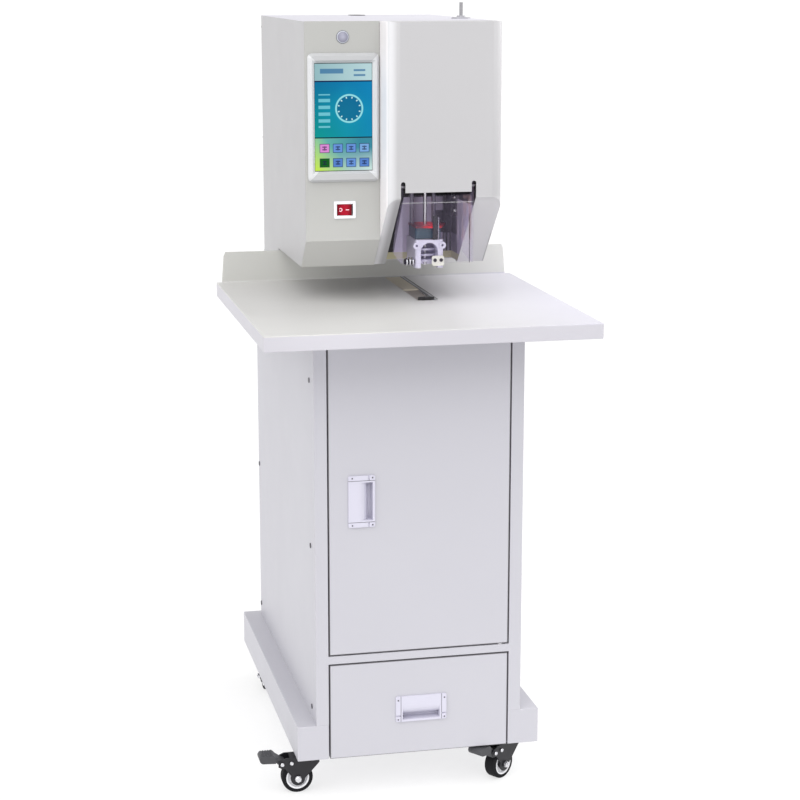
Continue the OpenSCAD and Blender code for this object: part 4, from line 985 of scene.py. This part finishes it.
class DRILL_OT_casters(PartOperator, bpy.types.Operator):
    """Finish forks, pedals and wheels and add the bright nuts and bolt heads"""
    bl_idname = "drill.casters"
    bl_label = "Casters"

    def make(self, colours, sizes):
        corners = ("front_left", "front_right", "rear_left", "rear_right")
        forks = ["caster_fork_" + corner for corner in corners]
        pedals = ["brake_pedal_left", "brake_pedal_right"]
        give(moulded("black_steel", tone(20, 19, 26), rough=0.46, depth=0.14), *forks)
        give(moulded("pedal_black", tone(62, 62, 66), rough=0.50, grain=500.0, depth=0.3),
             *pedals)
        soften(sizes.edge, *forks, *pedals)
        bright = bare_metal("nut_steel", tone(226, 226, 230), rough=0.22, grain=700.0)
        for corner in corners:
            self.tyre(colours.wheel, corner)
            self.nuts(sizes.nut / MM, corner, bright)

    def tyre(self, base, corner):
        """Black tread and cheek with a white hub ring and a dark hub."""
        wheel_radius, white, cap = 25.0 * MM, 0.55, 0.37
        axle, along = axle_of(corner)
        rubber = Finish("wheel_" + corner, Specular_IOR_Level=0.22)
        step = rubber.vector("SUBTRACT", rubber.place, axle)[0]
        turned = rubber.vector("CROSS_PRODUCT", step, along)[0]
        share = Val(rubber, rubber.vector("LENGTH", turned)[1]) * (1 / wheel_radius)
        ring = share.near(white, 0.185, 0.01)
        hub = share.below(cap, 0.01)
        grit = rubber.noise(420.0, 3.0, 0.6)
        rubber.set(Base_Color=rubber.mix(grit * 0.35, base, shade(base, 1.7)),
                   Roughness=0.72 - ring * 0.36 - hub * 0.20 + grit * 0.08,
                   Normal=rubber.bump(grit, 0.20, 0.0004))
        rubber.tint(hub, tone(44, 43, 48))
        rubber.tint(ring, tone(236, 236, 240))
        give(rubber, "wheel_" + corner)

    def nuts(self, width, corner, bright):
        """Washer and nut on both ends of an axle."""
        washer, nut = 15.4 * MM, 16.1 * MM
        axle, along = axle_of(corner)
        wide = width / math.sqrt(3)
        mesh = bmesh.new()
        for out in (-along, along):
            lathe(mesh, [(0, 0), (5.2, 0), (5.2, 0.8), (0, 0.8)], axle + out * washer, out)
            lathe(mesh, [(0, 0), (wide, 0), (wide, 2.6), (wide * 0.84, 3.2), (2.2, 3.2),
                         (2.0, 4.2), (0, 4.4)], axle + out * nut, out, 6, 0.4)
        if "front" in corner:
            self.bolts(mesh, corner, along)
        piece_of("axle_nuts_" + corner, mesh, bright, "fork_" + corner)

    def bolts(self, mesh, corner, along):
        """Round heads of the pedal pivot and of the stop pin over the wheel."""
        side, reach, rise, cheek = corner.split("_")[1], 37.0 * MM, 1.0 * MM, 14.9 * MM
        head = [(0, 0), (3.0, 0), (3.2, 0.6), (2.6, 1.4), (1.5, 1.7), (1.3, 1.1), (0, 1.0)]
        pedal = Vector(JOINTS["brake_" + side + "_press"]["pos_m"])
        swivel = Vector(JOINTS["swivel_" + corner]["pos_m"])
        trail = axle_of(corner)[0] - swivel
        trail.z = 0.0
        stop = swivel + trail.normalized() * reach
        stop.z = pedal.z + rise
        for spot in (pedal, stop):
            for out in (-along, along):
                lathe(mesh, head, spot + out * cheek, out, 24)


# Screws

class DRILL_OT_screws(PartOperator, bpy.types.Operator):
    """Lay a thin dark cross on every screw head, as painted shade of a cross recess"""
    bl_idname = "drill.screws"
    bl_label = "Screws"

    def make(self, colours, sizes):
        reach, sunk, thick, turn = sizes.recess / MM, 0.05 * MM, 0.10, 0.3
        wing = reach * 0.2
        arm, cross = [(wing, wing), (wing, reach), (-wing, reach)], []
        for _ in range(4):
            cross += arm
            arm = [(-y, x) for x, y in arm]
        mesh = bmesh.new()
        for low, high in islands("panel_screws"):
            size, centre = high - low, (low + high) / 2
            spread = [abs(size[(i + 1) % 3] - size[(i + 2) % 3]) for i in range(3)]
            axis = spread.index(min(spread))
            out = Vector((0, 0, 0))
            out[axis] = 1.0 if centre[axis] > 0 else -1.0
            spot = centre + out * (size[axis] / 2 - sunk)
            # A thin dark cross on the head: painted shade of the recess.
            prism(mesh, cross, frame_at(spot, out, turn), thick)
        piece_of("screw_recesses", mesh, moulded("recess_shadow", tone(26, 26, 30), rough=0.6),
                 "stand", smooth=False)


# Studio

class DRILL_OT_studio(bpy.types.Operator):
    """Set the pale floor, the soft light and the camera"""
    bl_idname = "drill.studio"
    bl_label = "Studio"
    bl_options = {"REGISTER", "UNDO"}

    def execute(self, context):
        studio = context.scene.drill_studio
        self.floor()
        self.sky(context.scene, studio.sky)
        for name, power, source, spread in (
                ("Overhead", studio.top, (-0.02, -0.58, 0.8), 60),
                ("Key", studio.key, (-0.72, -0.35, 0.62), 50),
                ("Fill", studio.fill, (-0.15, -1.0, 0.12), 70)):
            self.lamp(name, "SUN", power, Vector(source) * 3, (0, 0, 0),
                      angle=math.radians(spread))
        for name, power, place, aim, size, spread in (
                ("Side", studio.side, (1.5, 0.1, 2.0), (0.1, 0.1, 0.8), 0.9, 180),
                ("Low", studio.low, (-0.25, -1.25, 0.90), (-0.08, 0.22, 0.805), 0.15, 12),
                ("Work", studio.work, at(0, 112, 956), at(52, 190, 862), 0.02, 180)):
            self.lamp(name, "AREA", power, place, aim, size=size,
                      spread=math.radians(spread))
        self.camera(context.scene, studio.lens)
        context.scene.view_settings.view_transform = "Standard"
        return {"FINISHED"}

    def floor(self):
        """Flat paper that rises far away, so that it fills the view behind the machine."""
        mesh = bmesh.new()
        rings = [[mesh.verts.new((x, y, rise)) for x, y in oval(far, far, 48)]
                 for far, rise in ((2.0, 0.0), (8.0, 0.0), (26.0, 0.0), (38.0, 1.2),
                                   (50.0, 5.5), (60.0, 13.5))]
        mesh.faces.new(rings[0])
        join(mesh, rings)
        paper = Finish("studio_paper", Specular_IOR_Level=0.1, Emission_Strength=0.66)
        grain = paper.noise(60.0)
        paper.set(Base_Color=paper.mix(grain, tone(158, 158, 158), tone(164, 164, 164)),
                  Roughness=grain * 0.05 + 0.9,
                  Emission_Color=paper.mix(grain, tone(252, 252, 252), tone(255, 255, 255)))
        solid("studio_floor", mesh, paper)

    def sky(self, scene, strength):
        """Even white light from all round."""
        world = bpy.data.worlds.new("Studio")
        world.use_nodes = True
        light = world.node_tree.nodes["Background"]
        light.inputs["Color"].default_value = (1.0, 1.0, 1.0, 1.0)
        light.inputs["Strength"].default_value = strength
        scene.world = world

    def lamp(self, name, kind, power, place, aim, **settings):
        """A lamp that shines from its place at the aim."""
        data = bpy.data.lights.new(name, kind)
        data.energy = power
        for key, value in settings.items():
            setattr(data, key, value)
        lamp = linked(name, data)
        lamp.location = place
        lamp.rotation_euler = (Vector(place) - Vector(aim)).to_track_quat("Z", "Y").to_euler()
        lamp.visible_camera = kind == "SUN"

    def camera(self, scene, lens):
        """The photograph's point of view."""
        data = bpy.data.cameras.new("Camera")
        data.sensor_width = 36.0
        data.lens = lens
        data.shift_x = 0.004
        data.clip_end = 1000.0
        camera = linked("Camera", data)
        camera.location = (-0.6785, -3.1295, 1.2851)
        look = Vector((0.2120, 0.9540, -0.2118))
        camera.rotation_euler = look.to_track_quat("-Z", "Y").to_euler()
        scene.camera = camera


OPERATORS = (
    DRILL_OT_studio, DRILL_OT_cabinet, DRILL_OT_worktop, DRILL_OT_head, DRILL_OT_inside,
    DRILL_OT_tools, DRILL_OT_screen, DRILL_OT_lamp, DRILL_OT_switch, DRILL_OT_guard,
    DRILL_OT_pulls, DRILL_OT_casters, DRILL_OT_screws)


class DRILL_PT_panel(bpy.types.Panel):
    """Settings and steps of the paper drill"""
    bl_idname = "DRILL_PT_panel"
    bl_label = "Paper Drill"
    bl_space_type = "VIEW_3D"
    bl_region_type = "UI"
    bl_category = "Paper Drill"

    def draw(self, context):
        scene = context.scene
        for group in (scene.drill_colours, scene.drill_sizes, scene.drill_studio):
            box = self.layout.box()
            for name in group.bl_rna.properties.keys():
                if name not in ("rna_type", "name"):
                    box.prop(group, name)
        for operator in OPERATORS:
            self.layout.operator(operator.bl_idname)


CLASSES = (DRILL_PG_colours, DRILL_PG_sizes, DRILL_PG_studio) + OPERATORS + (DRILL_PT_panel,)


def register():
    for item in CLASSES:
        bpy.utils.register_class(item)
    scene = bpy.types.Scene
    scene.drill_colours = bpy.props.PointerProperty(type=DRILL_PG_colours)
    scene.drill_sizes = bpy.props.PointerProperty(type=DRILL_PG_sizes)
    scene.drill_studio = bpy.props.PointerProperty(type=DRILL_PG_studio)


def unregister():
    scene = bpy.types.Scene
    del scene.drill_studio, scene.drill_sizes, scene.drill_colours
    for item in reversed(CLASSES):
        bpy.utils.unregister_class(item)


def main():
    register()
    for operator in OPERATORS:
        group, action = operator.bl_idname.split(".")
        getattr(getattr(bpy.ops, group), action)()


if __name__ == "__main__":
    main()
